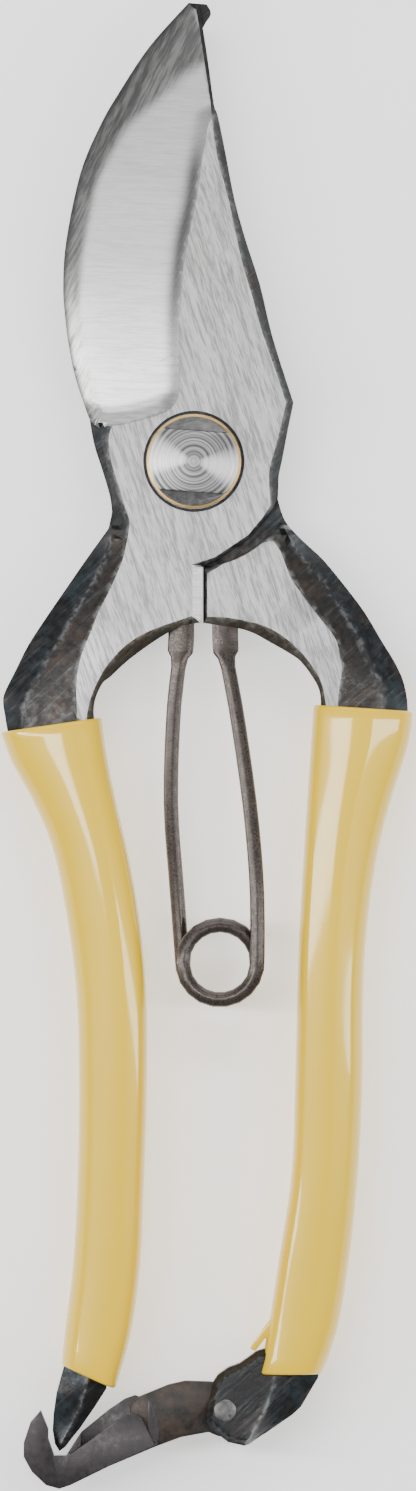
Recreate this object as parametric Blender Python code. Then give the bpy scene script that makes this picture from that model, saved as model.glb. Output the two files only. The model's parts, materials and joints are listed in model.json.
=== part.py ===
# Forged bypass secateurs, closed and latched, lying flat.
# Lengths below are millimetres and the meshes are metres. X runs to the right handle, Y to the tip of
# the blade and Z to the head of the pivot bolt. The pivot's axis is X = Y = 0, and Z = 0 is its rear end.
import math

import bmesh
import bpy

MM = 0.001

# The pivot's stack, from the rear.
NUT_HIGH = 2.6
WASHER_THICK = 0.5
HOOK_THICK = 4.0
BLADE_THICK = 3.8
HEAD_HIGH = 1.8
FACE_GAP = 0.2  # between flat faces that rest on each other
FIT = 0.3  # between a piece and the hole or socket that holds it
OVER = 1.0  # how far a cutter runs past the face it opens
SHANK_RADIUS = 4.0
HEAD_RADIUS = 6.0
BRASS_RADIUS = 6.35
NUT_RADIUS = 6.6
HEAD_FLATS = 8.2  # across the two spanner flats
HEAD_FLAT_DEEP = 0.8
HEAD_TURN = -4.0  # degrees the flats are turned

REAR_FACE = NUT_HIGH + WASHER_THICK + 2 * FACE_GAP
SLIDE_LOW = REAR_FACE + HOOK_THICK
SLIDE_HIGH = SLIDE_LOW + FACE_GAP
FRONT_FACE = SLIDE_HIGH + BLADE_THICK
MIDDLE = (REAR_FACE + FRONT_FACE) / 2
BRASS_LOW = FRONT_FACE + FACE_GAP
HEAD_LOW = BRASS_LOW + WASHER_THICK + FACE_GAP

SWEEP_RADIUS = 14.2  # the handles' full thickness starts outside this circle about the pivot
SWEEP_FAR = 60.0  # a width past everything on the tool
SHOULDER_ANGLE = 37.0  # degrees below the level through the pivot where each shoulder starts
SWEEP_END = 4.0  # degrees off straight down where the sweep ends, under the pivot
STOP_X = 1.1  # the left handle's stop face
STOP_GAP = 0.4
ARCH_Y = -21.8  # underside of the arch at the stop faces

# The grips, and the handle cores inside them.
GRIP_WALL = 0.7
GRIP_DEPTH = 1.0  # how far the grip stands proud of the handle's front and rear, with its fit
CORE_INSET = 0.15
CORE_LIFT = 3.0  # how far the core runs up into the shoulder

# The hollow grind on the blade.
GRIND_RADIUS = 70.0
GRIND_WIDTH = 16.0
GRIND_DEEP = 3.0
GRIND_X = 1.7  # the ridge where the grind ends, at the height GRIND_Y
GRIND_Y = 40.0
GRIND_LONG = 68.0  # so that it runs from the heel past the tip
GRIND_TILT = 7.0  # degrees off the tool's length

# The return spring.
WIRE_RADIUS = 1.05
COIL_X, COIL_Y = 3.5, -67.4
COIL_RADIUS = 5.05
COIL_TURNS = 2.5
COIL_GAP = 0.15  # between one turn and the next
COIL_PITCH = 2 * WIRE_RADIUS + COIL_GAP
COIL_CLOSES = 15.0  # degrees the left leg turns against the coil, with some to spare
SEAT_Y = -19.9
LEFT_SEAT_X, RIGHT_SEAT_X = -1.7, 4.2
PADDLE_THICK = 1.3
PADDLE_RADIUS = 1.8
PADDLE_LONG = 6.2
PADDLE_SIDE = 3.4  # how much of it keeps its full width
PADDLE_NECK = 0.95  # its lower end, as a share of the wire's radius
PADDLE_LAP = 0.5  # how far the wire runs up into it
SEAT_DEEP = 5.0  # the sockets, from the paddle's centre to past the arch
SEAT_NEAR = 0.6  # and how much wider they get on the side it stays by
SEAT_LEAN = 2.6  # and on the side it leans to
OPEN_SEAT_FIT = 0.5  # the left seat, whose linkage the joints leave open

# The catch and its rivet.
RIVET_X, RIVET_Y = 4.2, -127.6
RIVET_RADIUS = 1.5
CATCH_THICK = 5.0
CATCH_WALL = 0.9
LINK_THICK = 1.9
LINK_RADIUS = 3.7
END_THICK = 7.0
LINK_SLOT_LEFT, LINK_SLOT_LOW, LINK_SLOT_HIGH = -3.0, -135.0, -119.0  # the slot's open sides, past the handle

STEEL = ("ground_steel", (0.62, 0.62, 0.63, 1), 1.0, 0.35)
FORGED = ("forged_steel", (0.06, 0.065, 0.07, 1), 0.6, 0.5)
VINYL = ("yellow_vinyl", (0.98, 0.72, 0.18, 1), 0.0, 0.3)
BRASS = ("brass", (0.75, 0.52, 0.22, 1), 1.0, 0.35)
BRONZED = ("bronzed_wire", (0.13, 0.11, 0.1, 1), 0.8, 0.4)
BLACKED = ("blacked_catch", (0.08, 0.075, 0.08, 1), 0.5, 0.45)


def clear_scene():
    for old in list(bpy.data.objects):
        bpy.data.objects.remove(old, do_unlink=True)


def collection(name):
    made = bpy.data.collections.new(name)
    bpy.context.scene.collection.children.link(made)
    return made


def material(finish):
    name, colour, metallic, roughness = finish
    made = bpy.data.materials.get(name)
    if made is None:
        made = bpy.data.materials.new(name)
        made.use_nodes = True
        shader = made.node_tree.nodes["Principled BSDF"]
        shader.inputs["Base Color"].default_value = colour
        shader.inputs["Metallic"].default_value = metallic
        shader.inputs["Roughness"].default_value = roughness
    return made


def smooth(run, steps=3):
    """Points on a Catmull-Rom curve through the run, ends included."""
    made = []
    for i in range(len(run) - 1):
        before = run[max(i - 1, 0)]
        here, there = run[i], run[i + 1]
        after = run[min(i + 2, len(run) - 1)]
        for s in range(steps):
            t = s / steps
            weights = (
                (-t + 2 * t * t - t**3) / 2,
                (2 - 5 * t * t + 3 * t**3) / 2,
                (t + 4 * t * t - 3 * t**3) / 2,
                (-t * t + t**3) / 2,
            )
            made.append(
                tuple(
                    sum(w * p[k] for w, p in zip(weights, (before, here, there, after)))
                    for k in range(len(here))
                )
            )
    made.append(tuple(run[-1]))
    return made


def arc(x, y, radius, start, end, steps):
    """Points on an arc, from one angle to the other in degrees."""
    made = []
    for i in range(steps + 1):
        angle = math.radians(start + (end - start) * i / steps)
        made.append((x + radius * math.cos(angle), y + radius * math.sin(angle)))
    return made


def new_object(name, mesh, finish, group):
    made = bpy.data.objects.new(name, mesh)
    group.objects.link(made)
    if finish:
        mesh.materials.clear()
        mesh.materials.append(material(finish))
    else:
        made.hide_render = True
        made.display_type = "WIRE"
    return made


def plate(name, outline, low, high, finish, group):
    """A flat outline as a filled curve with thickness, made a mesh so that it can be cut."""
    curve = bpy.data.curves.new(name, "CURVE")
    curve.dimensions = "2D"
    curve.fill_mode = "BOTH"
    curve.extrude = (high - low) / 2 * MM
    spline = curve.splines.new("POLY")
    spline.points.add(len(outline) - 1)
    for point, (x, y) in zip(spline.points, outline):
        point.co = (x * MM, y * MM, 0, 1)
    spline.use_cyclic_u = True
    drawn = bpy.data.objects.new(name + "_outline", curve)
    group.objects.link(drawn)
    drawn.location.z = (low + high) / 2 * MM
    bpy.context.view_layer.update()
    graph = bpy.context.evaluated_depsgraph_get()
    mesh = bpy.data.meshes.new_from_object(drawn.evaluated_get(graph))
    weld(mesh)
    made = new_object(name, mesh, finish, group)
    made.matrix_world = drawn.matrix_world
    bpy.data.objects.remove(drawn)
    return made


def weld(mesh):
    shape = bmesh.new()
    shape.from_mesh(mesh)
    bmesh.ops.remove_doubles(shape, verts=shape.verts, dist=1e-6)
    bmesh.ops.recalc_face_normals(shape, faces=shape.faces)
    shape.to_mesh(mesh)
    shape.free()


def disc(name, x, y, radius, low, high, sides, finish, group):
    shape = bmesh.new()
    bmesh.ops.create_cone(
        shape,
        cap_ends=True,
        segments=sides,
        radius1=radius * MM,
        radius2=radius * MM,
        depth=(high - low) * MM,
    )
    mesh = bpy.data.meshes.new(name)
    shape.to_mesh(mesh)
    shape.free()
    made = new_object(name, mesh, finish, group)
    made.location = (x * MM, y * MM, (low + high) / 2 * MM)
    mesh.shade_smooth()
    mesh.set_sharp_from_angle(angle=math.radians(40))
    return made


def ring(left, right, low, high, sides=16, power=4.0):
    """A rounded rectangle across a handle, between its left and right (x, y)."""
    points = []
    for i in range(sides):
        angle = 2 * math.pi * (i + 0.5) / sides
        c, s = math.cos(angle), math.sin(angle)
        across = math.copysign(abs(c) ** (2 / power), c)
        depth = math.copysign(abs(s) ** (2 / power), s)
        share = (across + 1) / 2
        points.append(
            (
                left[0] + (right[0] - left[0]) * share,
                left[1] + (right[1] - left[1]) * share,
                (low + high) / 2 + (high - low) / 2 * depth,
            )
        )
    return points


def loft(name, rings, finish, group, bore=None):
    """A skin over the rings, with flat ends, or open round a bore's rings."""
    shape = bmesh.new()
    made = [[shape.verts.new([v * MM for v in point]) for point in r] for r in rings]
    sides = len(rings[0])
    for one, two in zip(made, made[1:]):
        for i in range(sides):
            j = (i + 1) % sides
            shape.faces.new((one[i], one[j], two[j], two[i]))
    if bore is None:
        shape.faces.new(made[0])
        shape.faces.new(made[-1])
    else:
        inner = [[shape.verts.new([v * MM for v in point]) for point in r] for r in bore]
        for one, two in zip(inner, inner[1:]):
            for i in range(sides):
                j = (i + 1) % sides
                shape.faces.new((one[i], one[j], two[j], two[i]))
        for outside, inside in ((made[0], inner[0]), (made[-1], inner[-1])):
            for i in range(sides):
                j = (i + 1) % sides
                shape.faces.new((outside[i], outside[j], inside[j], inside[i]))
    bmesh.ops.recalc_face_normals(shape, faces=shape.faces)
    mesh = bpy.data.meshes.new(name)
    shape.to_mesh(mesh)
    shape.free()
    mesh.shade_smooth()
    mesh.set_sharp_from_angle(angle=math.radians(40))
    return new_object(name, mesh, finish, group)


def combine(target, other, operation):
    step = target.modifiers.new(operation.lower() + "_" + other.name, "BOOLEAN")
    step.operation = operation
    step.object = other
    step.solver = "EXACT"


# Outlines of the forgings. Each run is smooth, and runs meet at corners.
CUTTING_EDGE = [
    (-0.7, 61.8), (-5.9, 56.0), (-9.9, 50.0), (-13.9, 42.6), (-16.6, 33.4),
    (-17.6, 23.6), (-16.9, 15.4), (-14.0, 5.6),
]
BLADE_NECK = [(-12.4, 4.6), (-11.7, 1.0), (-11.4, -4.0), (-11.5, -9.0)]
LEFT_SHOULDER = [(-14.6, -13.3), (-19.9, -21.0), (-24.0, -28.1), (-25.6, -31.8), (-25.3, -35.6)]
LEFT_ARCH = [
    (-13.4, -33.7), (-13.2, -31.5), (-11.3, -28.4), (-8.3, -26.0), (-4.4, -23.4), (-1.6, -22.0),
    (STOP_X, ARCH_Y),
]
BLADE_LOWER_EDGE = [(STOP_X, -14.2), (2.8, -13.4), (7.5, -10.2), (9.4, -7.9), (10.7, -6.2)]
BLADE_SPINE = [
    (11.0, -3.5), (11.6, 2.5), (13.3, 7.9), (10.5, 16.7), (7.0, 29.4), (4.1, 41.8), (2.0, 53.9),
    (1.0, 59.5),
]
HOOK_BACK = [
    (1.7, 61.5), (-4.2, 55.6), (-8.2, 49.6), (-12.1, 42.2), (-15.0, 33.2), (-16.1, 23.6),
    (-15.5, 15.4), (-14.0, 5.4), (-12.2, -0.3), (-11.1, -4.5), (-11.0, -7.2),
]
HOOK_LOWER_EDGE = [(-9.0, -9.4), (-6.0, -11.8), (-2.8, -13.4), (STOP_X + STOP_GAP, -14.1)]
RIGHT_ARCH = [
    (STOP_X + STOP_GAP, ARCH_Y), (5.9, -22.4), (10.1, -24.2), (14.4, -26.7), (16.5, -29.6),
    (17.1, -32.1),
]
RIGHT_SHOULDER = [
    (28.7, -33.0), (28.3, -29.9), (25.2, -24.0), (20.3, -16.7), (15.7, -11.6), (12.2, -7.8),
    (11.3, -5.1),
]
HOOK_THROAT = [(11.5, 0.0), (12.3, 4.6)]
HOOK_EDGE = [
    (9.0, 8.6), (2.0, 10.4), (-4.0, 12.4), (-7.4, 17.0), (-8.6, 24.0), (-7.6, 32.0), (-5.2, 40.0),
    (-2.4, 47.0), (0.0, 53.5), (1.3, 58.2), (2.3, 60.2),
]

# The grips' edges, top to bottom, at matching heights on the two sides.
LEFT_GRIP_OUTER = [
    (-25.9, -36.5), (-24.5, -40.5), (-21.6, -45.8), (-18.9, -52.5), (-17.0, -62.0), (-15.8, -72.0),
    (-15.5, -84.0), (-15.7, -97.0), (-16.3, -108.0), (-17.3, -116.5), (-18.2, -121.4),
]
LEFT_GRIP_INNER = [
    (-12.5, -34.5), (-11.7, -39.5), (-10.4, -46.0), (-8.7, -53.5), (-7.2, -62.5), (-6.4, -72.0),
    (-6.3, -84.0), (-6.7, -97.0), (-7.2, -108.0), (-8.5, -117.5), (-10.6, -124.6),
]
RIGHT_GRIP_INNER = [
    (16.1, -32.7), (15.7, -38.5), (15.2, -46.0), (14.7, -54.0), (14.2, -63.0), (13.9, -72.0),
    (13.6, -84.0), (13.1, -96.0), (11.4, -107.5), (10.0, -116.5), (8.8, -123.4),
]
RIGHT_GRIP_OUTER = [
    (29.7, -33.6), (28.9, -38.0), (26.3, -46.4), (24.5, -54.0), (23.3, -63.0), (22.8, -72.0),
    (22.7, -84.0), (22.1, -96.0), (20.9, -107.5), (19.4, -116.5), (17.3, -122.9),
]
# Rings past the grip: left point, right point, thickness.
LEFT_TANG = [((-18.0, -128.4), (-14.6, -128.4), 4.0), ((-18.6, -132.4), (-17.7, -132.4), 2.4)]
RIGHT_TANG = [((9.9, -125.6), (14.6, -125.4), 6.6)]
HANDLE_END = [
    (16.1, -123.9), (14.4, -127.2), (13.2, -128.4), (7.7, -132.0), (6.2, -132.4), (4.4, -131.8),
    (2.2, -130.0), (1.7, -128.4), (2.5, -124.6), (3.6, -123.9), (9.4, -124.2),
]
CATCH_BODY = [
    (-20.6, -127.7), (-22.0, -129.3), (-22.9, -132.0), (-22.9, -133.9), (-21.8, -135.9),
    (-19.9, -137.7), (-18.1, -138.2), (-16.6, -137.7), (-11.5, -135.2), (-4.6, -132.4),
    (-4.6, -127.2), (-7.9, -125.7), (-11.2, -127.6), (-15.2, -130.9), (-17.2, -133.8),
    (-18.8, -133.8), (-19.6, -131.5), (-19.6, -130.2),
]


def sweep_cutter(name, side, low, high, group):
    """Clears half the thickness of a forging wherever the other one turns. side is -1 left, 1 right."""
    far = SWEEP_FAR
    around = arc(0, 0, SWEEP_RADIUS, 270 + side * (90 - SHOULDER_ANGLE), 270 + side * SWEEP_END, 14)
    top = around[0][1]
    outline = [(side * far, top)] + around + [(-side * far, around[-1][1])]
    outline += [(-side * far, 2 * far), (side * far, 2 * far)]
    return plate(name, outline, low, high, None, group)


def seat_cutter(name, x, lean, fit, group):
    """The socket in the arch's underside that a paddle rocks in. lean is the side it rocks to."""
    reach = PADDLE_RADIUS + fit
    outline = arc(x, SEAT_Y, reach, 180, 0, 12)
    low = SEAT_Y - SEAT_DEEP
    outline += [(x + reach + (SEAT_LEAN if lean > 0 else SEAT_NEAR), low)]
    outline += [(x - reach - (SEAT_LEAN if lean < 0 else SEAT_NEAR), low)]
    half = PADDLE_THICK / 2 + FIT
    return plate(name, outline, MIDDLE - half, MIDDLE + half, None, group)


def grip_rings(outer, inner, inset, depth):
    """Rings down a grip, inset from its sides, and depth proud of the forging's two faces."""
    rings = []
    for left, right in zip(smooth(outer, 2), smooth(inner, 2)):
        rings.append(
            ring(
                (left[0] + inset, left[1]),
                (right[0] - inset, right[1]),
                REAR_FACE - depth,
                FRONT_FACE + depth,
            )
        )
    return rings


def blade_arm(group, cutters):
    outline = smooth(CUTTING_EDGE) + smooth(BLADE_NECK, 2) + smooth(LEFT_SHOULDER)
    outline += smooth(LEFT_ARCH) + BLADE_LOWER_EDGE + smooth(BLADE_SPINE, 2)
    arm = plate("blade_arm", outline, REAR_FACE, FRONT_FACE, STEEL, group)
    sweep = sweep_cutter("blade_sweep", -1, REAR_FACE - OVER, SLIDE_HIGH, cutters)
    combine(arm, sweep, "DIFFERENCE")
    combine(arm, handle_core("left_core", LEFT_GRIP_OUTER, LEFT_GRIP_INNER, LEFT_TANG, cutters), "UNION")
    combine(arm, grind_cutter(cutters), "DIFFERENCE")
    combine(arm, seat_cutter("left_seat", LEFT_SEAT_X, 1, OPEN_SEAT_FIT, cutters), "DIFFERENCE")
    combine(arm, shank_cutter("blade_bore", SLIDE_LOW, FRONT_FACE + OVER, cutters), "DIFFERENCE")
    return arm


def handle_core(name, left_edge, right_edge, tips, group):
    """The bar inside a grip, from the shoulder to where it leaves the grip, and on to its tip."""
    rings = grip_rings(left_edge, right_edge, GRIP_WALL + FIT, -CORE_INSET)
    top = [(x, y + CORE_LIFT, z) for x, y, z in rings[0]]
    for left, right, thick in tips:
        rings.append(ring(left, right, MIDDLE - thick / 2, MIDDLE + thick / 2))
    return loft(name, [top] + rings, None, group)


def grind_cutter(group):
    """A long drum that hollows the blade from its ridge to its cutting edge."""
    chord = math.hypot(GRIND_WIDTH, GRIND_DEEP)
    drop = math.sqrt(GRIND_RADIUS**2 - (chord / 2) ** 2)
    slope = math.atan2(GRIND_DEEP, GRIND_WIDTH)
    across = GRIND_WIDTH / 2 + drop * math.sin(slope)
    rise = drop * math.cos(slope) - GRIND_DEEP / 2
    tilt = math.radians(GRIND_TILT)
    shape = bmesh.new()
    bmesh.ops.create_cone(
        shape,
        cap_ends=True,
        segments=180,
        radius1=GRIND_RADIUS * MM,
        radius2=GRIND_RADIUS * MM,
        depth=GRIND_LONG * MM,
    )
    mesh = bpy.data.meshes.new("grind_drum")
    shape.to_mesh(mesh)
    shape.free()
    drum = new_object("grind_drum", mesh, None, group)
    drum.location = (
        (GRIND_X - across * math.cos(tilt)) * MM,
        (GRIND_Y + across * math.sin(tilt)) * MM,
        (FRONT_FACE + rise) * MM,
    )
    drum.rotation_euler = (math.radians(90), 0, -tilt)
    return drum


def hook_arm(group, cutters):
    outline = smooth(HOOK_BACK) + HOOK_LOWER_EDGE + smooth(RIGHT_ARCH) + smooth(RIGHT_SHOULDER)
    outline += HOOK_THROAT + smooth(HOOK_EDGE, 2)
    arm = plate("hook_arm", outline, REAR_FACE, FRONT_FACE, FORGED, group)
    sweep = sweep_cutter("hook_sweep", 1, SLIDE_LOW, FRONT_FACE + OVER, cutters)
    combine(arm, sweep, "DIFFERENCE")
    combine(arm, handle_core("right_core", RIGHT_GRIP_INNER, RIGHT_GRIP_OUTER, RIGHT_TANG, cutters), "UNION")
    end = plate(
        "handle_end", HANDLE_END, MIDDLE - END_THICK / 2, MIDDLE + END_THICK / 2, None, cutters
    )
    combine(arm, end, "UNION")
    half = LINK_THICK / 2 + FIT
    root = RIVET_X + LINK_RADIUS + 3 * FIT
    slot = [(LINK_SLOT_LEFT, LINK_SLOT_LOW), (root, LINK_SLOT_LOW)]
    slot += [(root, LINK_SLOT_HIGH), (LINK_SLOT_LEFT, LINK_SLOT_HIGH)]
    combine(arm, plate("link_slot", slot, MIDDLE - half, MIDDLE + half, None, cutters), "DIFFERENCE")
    hole = disc(
        "rivet_hole", RIVET_X, RIVET_Y, RIVET_RADIUS + FIT / 2, REAR_FACE, FRONT_FACE, 24, None,
        cutters,
    )
    combine(arm, hole, "DIFFERENCE")
    combine(arm, seat_cutter("right_seat", RIGHT_SEAT_X, -1, FIT, cutters), "DIFFERENCE")
    combine(arm, shank_cutter("hook_bore", REAR_FACE - OVER, SLIDE_HIGH, cutters), "DIFFERENCE")
    return arm


def pivot(group, cutters):
    bolt = disc("pivot_bolt", 0, 0, HEAD_RADIUS, HEAD_LOW, HEAD_LOW + HEAD_HIGH, 40, STEEL, group)
    shank = disc("shank", 0, 0, SHANK_RADIUS, 0, HEAD_LOW + HEAD_HIGH / 4, 32, None, cutters)
    combine(bolt, shank, "UNION")
    far = HEAD_RADIUS + 1
    for name, side in (("flat_above", 1), ("flat_below", -1)):
        near = side * HEAD_FLATS / 2
        outline = [(-far, near), (far, near), (far, side * far), (-far, side * far)]
        high = HEAD_LOW + HEAD_HIGH
        flat = plate(name, outline, high - HEAD_FLAT_DEEP, high + OVER, None, cutters)
        flat.rotation_euler.z = math.radians(HEAD_TURN)
        combine(bolt, flat, "DIFFERENCE")
    washer("brass_washer", BRASS_RADIUS, BRASS_LOW, BRASS, group, cutters)
    washer("rear_washer", NUT_RADIUS, NUT_HIGH + FACE_GAP, BRONZED, group, cutters)
    nut = disc("pivot_nut", 0, 0, NUT_RADIUS, 0, NUT_HIGH, 6, BLACKED, group)
    combine(nut, shank_cutter("nut_bore", -OVER, NUT_HIGH + OVER, cutters), "DIFFERENCE")


def shank_cutter(name, low, high, cutters):
    return disc(name, 0, 0, SHANK_RADIUS + FIT, low, high, 32, None, cutters)


def washer(name, radius, low, finish, group, cutters):
    made = disc(name, 0, 0, radius, low, low + WASHER_THICK, 40, finish, group)
    bore = shank_cutter(name + "_bore", low - OVER, low + WASHER_THICK + OVER, cutters)
    combine(made, bore, "DIFFERENCE")


def coil_point(turns):
    """A point on the coil's centre line, turns after it leaves the right leg, clockwise from the front."""
    angle = -2 * math.pi * turns
    high = MIDDLE + COIL_PITCH * (COIL_TURNS / 2 - turns)
    return (COIL_X + COIL_RADIUS * math.cos(angle), COIL_Y + COIL_RADIUS * math.sin(angle), high)


def wire(name, points, finish, group):
    curve = bpy.data.curves.new(name, "CURVE")
    curve.dimensions = "3D"
    curve.bevel_depth = WIRE_RADIUS * MM
    curve.bevel_resolution = 2
    curve.use_fill_caps = True
    spline = curve.splines.new("POLY")
    spline.points.add(len(points) - 1)
    for point, place in zip(spline.points, points):
        point.co = [v * MM for v in place] + [1]
    drawn = bpy.data.objects.new(name + "_path", curve)
    group.objects.link(drawn)
    bpy.context.view_layer.update()
    graph = bpy.context.evaluated_depsgraph_get()
    mesh = bpy.data.meshes.new_from_object(drawn.evaluated_get(graph))
    weld(mesh)
    made = new_object(name, mesh, finish, group)
    made.matrix_world = drawn.matrix_world
    bpy.data.objects.remove(drawn)
    mesh.shade_smooth()
    mesh.set_sharp_from_angle(angle=math.radians(40))
    return made


def paddle(name, x, group):
    """The flattened end of the wire, round where it rocks in its seat."""
    neck = WIRE_RADIUS * PADDLE_NECK
    outline = arc(x, SEAT_Y, PADDLE_RADIUS, 180, 0, 10)
    outline += [(x + PADDLE_RADIUS, SEAT_Y - PADDLE_SIDE), (x + neck, SEAT_Y - PADDLE_LONG)]
    outline += [(x - neck, SEAT_Y - PADDLE_LONG), (x - PADDLE_RADIUS, SEAT_Y - PADDLE_SIDE)]
    return plate(name, outline, MIDDLE - PADDLE_THICK / 2, MIDDLE + PADDLE_THICK / 2, None, group)


def spring(group, cutters):
    """One wire. It is two solids, so that the left leg can turn against the coil."""
    neck_y = SEAT_Y - PADDLE_LONG + PADDLE_LAP
    last = COIL_TURNS - COIL_CLOSES / 360
    turns = [coil_point(last * i / 38) for i in range(1, 39)]
    front, rear = coil_point(0), coil_point(COIL_TURNS)
    right_leg = smooth(
        [(RIGHT_SEAT_X + 0.1, neck_y, MIDDLE), (5.8, -32.1, MIDDLE + 0.5), (7.8, -46.0, MIDDLE + 1.5),
         (8.6, -57.0, front[2] - 0.2), front],
        4,
    )
    left_leg = smooth(
        [(LEFT_SEAT_X - 0.1, neck_y, MIDDLE), (-2.7, -32.1, MIDDLE - 0.5), (-3.2, -46.0, MIDDLE - 1.5),
         (-2.6, -57.0, rear[2] + 0.2), (rear[0], rear[1] + FIT, rear[2])],
        4,
    )
    right = wire("spring_coil_leg", right_leg + turns, BRONZED, group)
    combine(right, paddle("right_paddle", RIGHT_SEAT_X, cutters), "UNION")
    left = wire("spring_left_leg", left_leg, BRONZED, group)
    combine(left, paddle("left_paddle", LEFT_SEAT_X, cutters), "UNION")


def grips(group):
    for name, left, right in (
        ("left_grip", LEFT_GRIP_OUTER, LEFT_GRIP_INNER),
        ("right_grip", RIGHT_GRIP_INNER, RIGHT_GRIP_OUTER),
    ):
        skin = grip_rings(left, right, 0, GRIP_DEPTH)
        bore = grip_rings(left, right, GRIP_WALL, FIT - CORE_INSET)
        loft(name, skin, VINYL, group, bore)


def catch(group, cutters):
    half = CATCH_THICK / 2
    body = plate("catch", CATCH_BODY, MIDDLE - half, MIDDLE + half, BLACKED, group)
    inside = half - CATCH_WALL
    channel = [(-15.0, -124.0), (-15.0, -132.6), (-11.0, -133.9), (-6.2, -131.9), (-6.2, -124.0)]
    pocket = plate("catch_channel", channel, MIDDLE - inside, MIDDLE + inside, None, cutters)
    combine(body, pocket, "DIFFERENCE")
    link = [(-7.6, -132.9), (-4.0, -132.0), (0.5, -130.9)]
    link += arc(RIVET_X, RIVET_Y, LINK_RADIUS, -120, 110, 16)
    link += [(-2.6, -124.4), (-7.6, -126.2)]
    half = LINK_THICK / 2
    bar = plate("catch_link", link, MIDDLE - half, MIDDLE + half, None, cutters)
    combine(body, bar, "UNION")
    hole = disc(
        "link_hole", RIVET_X, RIVET_Y, RIVET_RADIUS + FIT, REAR_FACE, FRONT_FACE, 24, None, cutters
    )
    combine(body, hole, "DIFFERENCE")
    low, high = MIDDLE - END_THICK / 2, MIDDLE + END_THICK / 2
    disc("catch_rivet", RIVET_X, RIVET_Y, RIVET_RADIUS, low, high, 24, STEEL, group)


def main():
    clear_scene()
    parts = collection("secateurs")
    cutters = collection("cutters")
    blade_arm(parts, cutters)
    hook_arm(parts, cutters)
    pivot(parts, cutters)
    spring(parts, cutters)
    grips(parts)
    catch(parts, cutters)


main()
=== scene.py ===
import json
import math

import bmesh
import bpy
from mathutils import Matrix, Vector, geometry, noise


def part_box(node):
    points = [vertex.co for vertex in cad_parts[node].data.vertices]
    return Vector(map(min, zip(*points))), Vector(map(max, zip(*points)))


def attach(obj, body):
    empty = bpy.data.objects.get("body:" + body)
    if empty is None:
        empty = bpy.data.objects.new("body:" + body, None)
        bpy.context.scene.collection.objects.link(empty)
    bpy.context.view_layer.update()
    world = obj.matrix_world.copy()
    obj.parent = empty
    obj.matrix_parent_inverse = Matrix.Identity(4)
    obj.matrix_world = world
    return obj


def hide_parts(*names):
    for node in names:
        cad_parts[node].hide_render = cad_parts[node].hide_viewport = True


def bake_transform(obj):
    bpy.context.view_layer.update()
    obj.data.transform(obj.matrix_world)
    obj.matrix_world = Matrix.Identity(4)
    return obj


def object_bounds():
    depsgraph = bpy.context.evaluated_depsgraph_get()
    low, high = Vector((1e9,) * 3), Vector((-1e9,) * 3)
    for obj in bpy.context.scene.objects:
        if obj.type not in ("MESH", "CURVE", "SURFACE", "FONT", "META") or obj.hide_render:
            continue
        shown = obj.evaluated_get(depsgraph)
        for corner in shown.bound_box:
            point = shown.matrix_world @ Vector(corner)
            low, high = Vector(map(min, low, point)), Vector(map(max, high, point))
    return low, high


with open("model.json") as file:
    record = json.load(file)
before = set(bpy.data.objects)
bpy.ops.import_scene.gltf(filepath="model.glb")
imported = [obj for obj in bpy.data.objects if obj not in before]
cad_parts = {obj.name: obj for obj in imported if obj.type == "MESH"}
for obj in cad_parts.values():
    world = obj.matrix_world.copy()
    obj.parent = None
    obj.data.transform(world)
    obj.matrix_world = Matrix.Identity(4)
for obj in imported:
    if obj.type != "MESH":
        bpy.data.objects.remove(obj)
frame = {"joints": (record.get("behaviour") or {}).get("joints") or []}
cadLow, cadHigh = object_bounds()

mm = 0.001
boltLow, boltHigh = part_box("pivot_bolt")
bladeLow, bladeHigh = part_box("blade_arm")
hookLow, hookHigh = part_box("hook_arm")
washerLow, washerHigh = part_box("brass_washer")
catchLow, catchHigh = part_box("catch")
rivetLow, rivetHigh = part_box("catch_rivet")
frontZ = bladeHigh.z / mm      # the forgings' two ground faces
rearZ = hookLow.z / mm
middleZ = (frontZ + rearZ) / 2
middle = middleZ
slideZ = middleZ + 0.2         # where the blade's rear face runs
hookTopZ = middleZ             # and the hook's front face, under it


def joint(name):
    return next(j for j in frame["joints"] if j["name"] == name)


def deselect():
    if bpy.context.object and bpy.context.object.mode != "OBJECT":
        bpy.ops.object.mode_set(mode="OBJECT")
    bpy.ops.object.select_all(action="DESELECT")


def choose(obj):
    deselect()
    obj.select_set(True)
    bpy.context.view_layer.objects.active = obj


def applyAll(obj):
    choose(obj)
    bpy.ops.object.transform_apply(location=True, rotation=True, scale=True)
    for modifier in list(obj.modifiers):
        bpy.ops.object.modifier_apply(modifier=modifier.name)


def shadeByAngle(obj, degrees):
    choose(obj)
    bpy.ops.object.shade_smooth_by_angle(angle=math.radians(degrees))


def smoothRun(run, steps=6):
    # a Catmull-Rom curve through the run's points, ends included
    made = []
    for i in range(len(run) - 1):
        a, b, c, d = run[max(i - 1, 0)], run[i], run[i + 1], run[min(i + 2, len(run) - 1)]
        for s in range(steps):
            t = s / steps
            w = ((-t + 2*t*t - t**3) / 2, (2 - 5*t*t + 3*t**3) / 2, (t + 4*t*t - 3*t**3) / 2, (t**3 - t*t) / 2)
            made.append(tuple(sum(wi * p[k] for wi, p in zip(w, (a, b, c, d))) for k in range(len(b))))
    made.append(tuple(run[-1]))
    return made


def arcRun(x, y, radius, start, end, steps):
    angles = [math.radians(start + (end - start) * i / steps) for i in range(steps + 1)]
    return [(x + radius * math.cos(a), y + radius * math.sin(a)) for a in angles]


def smoothStep(low, high, value):
    t = min(max((value - low) / (high - low), 0.0), 1.0)
    return t * t * (3 - 2 * t)


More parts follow.
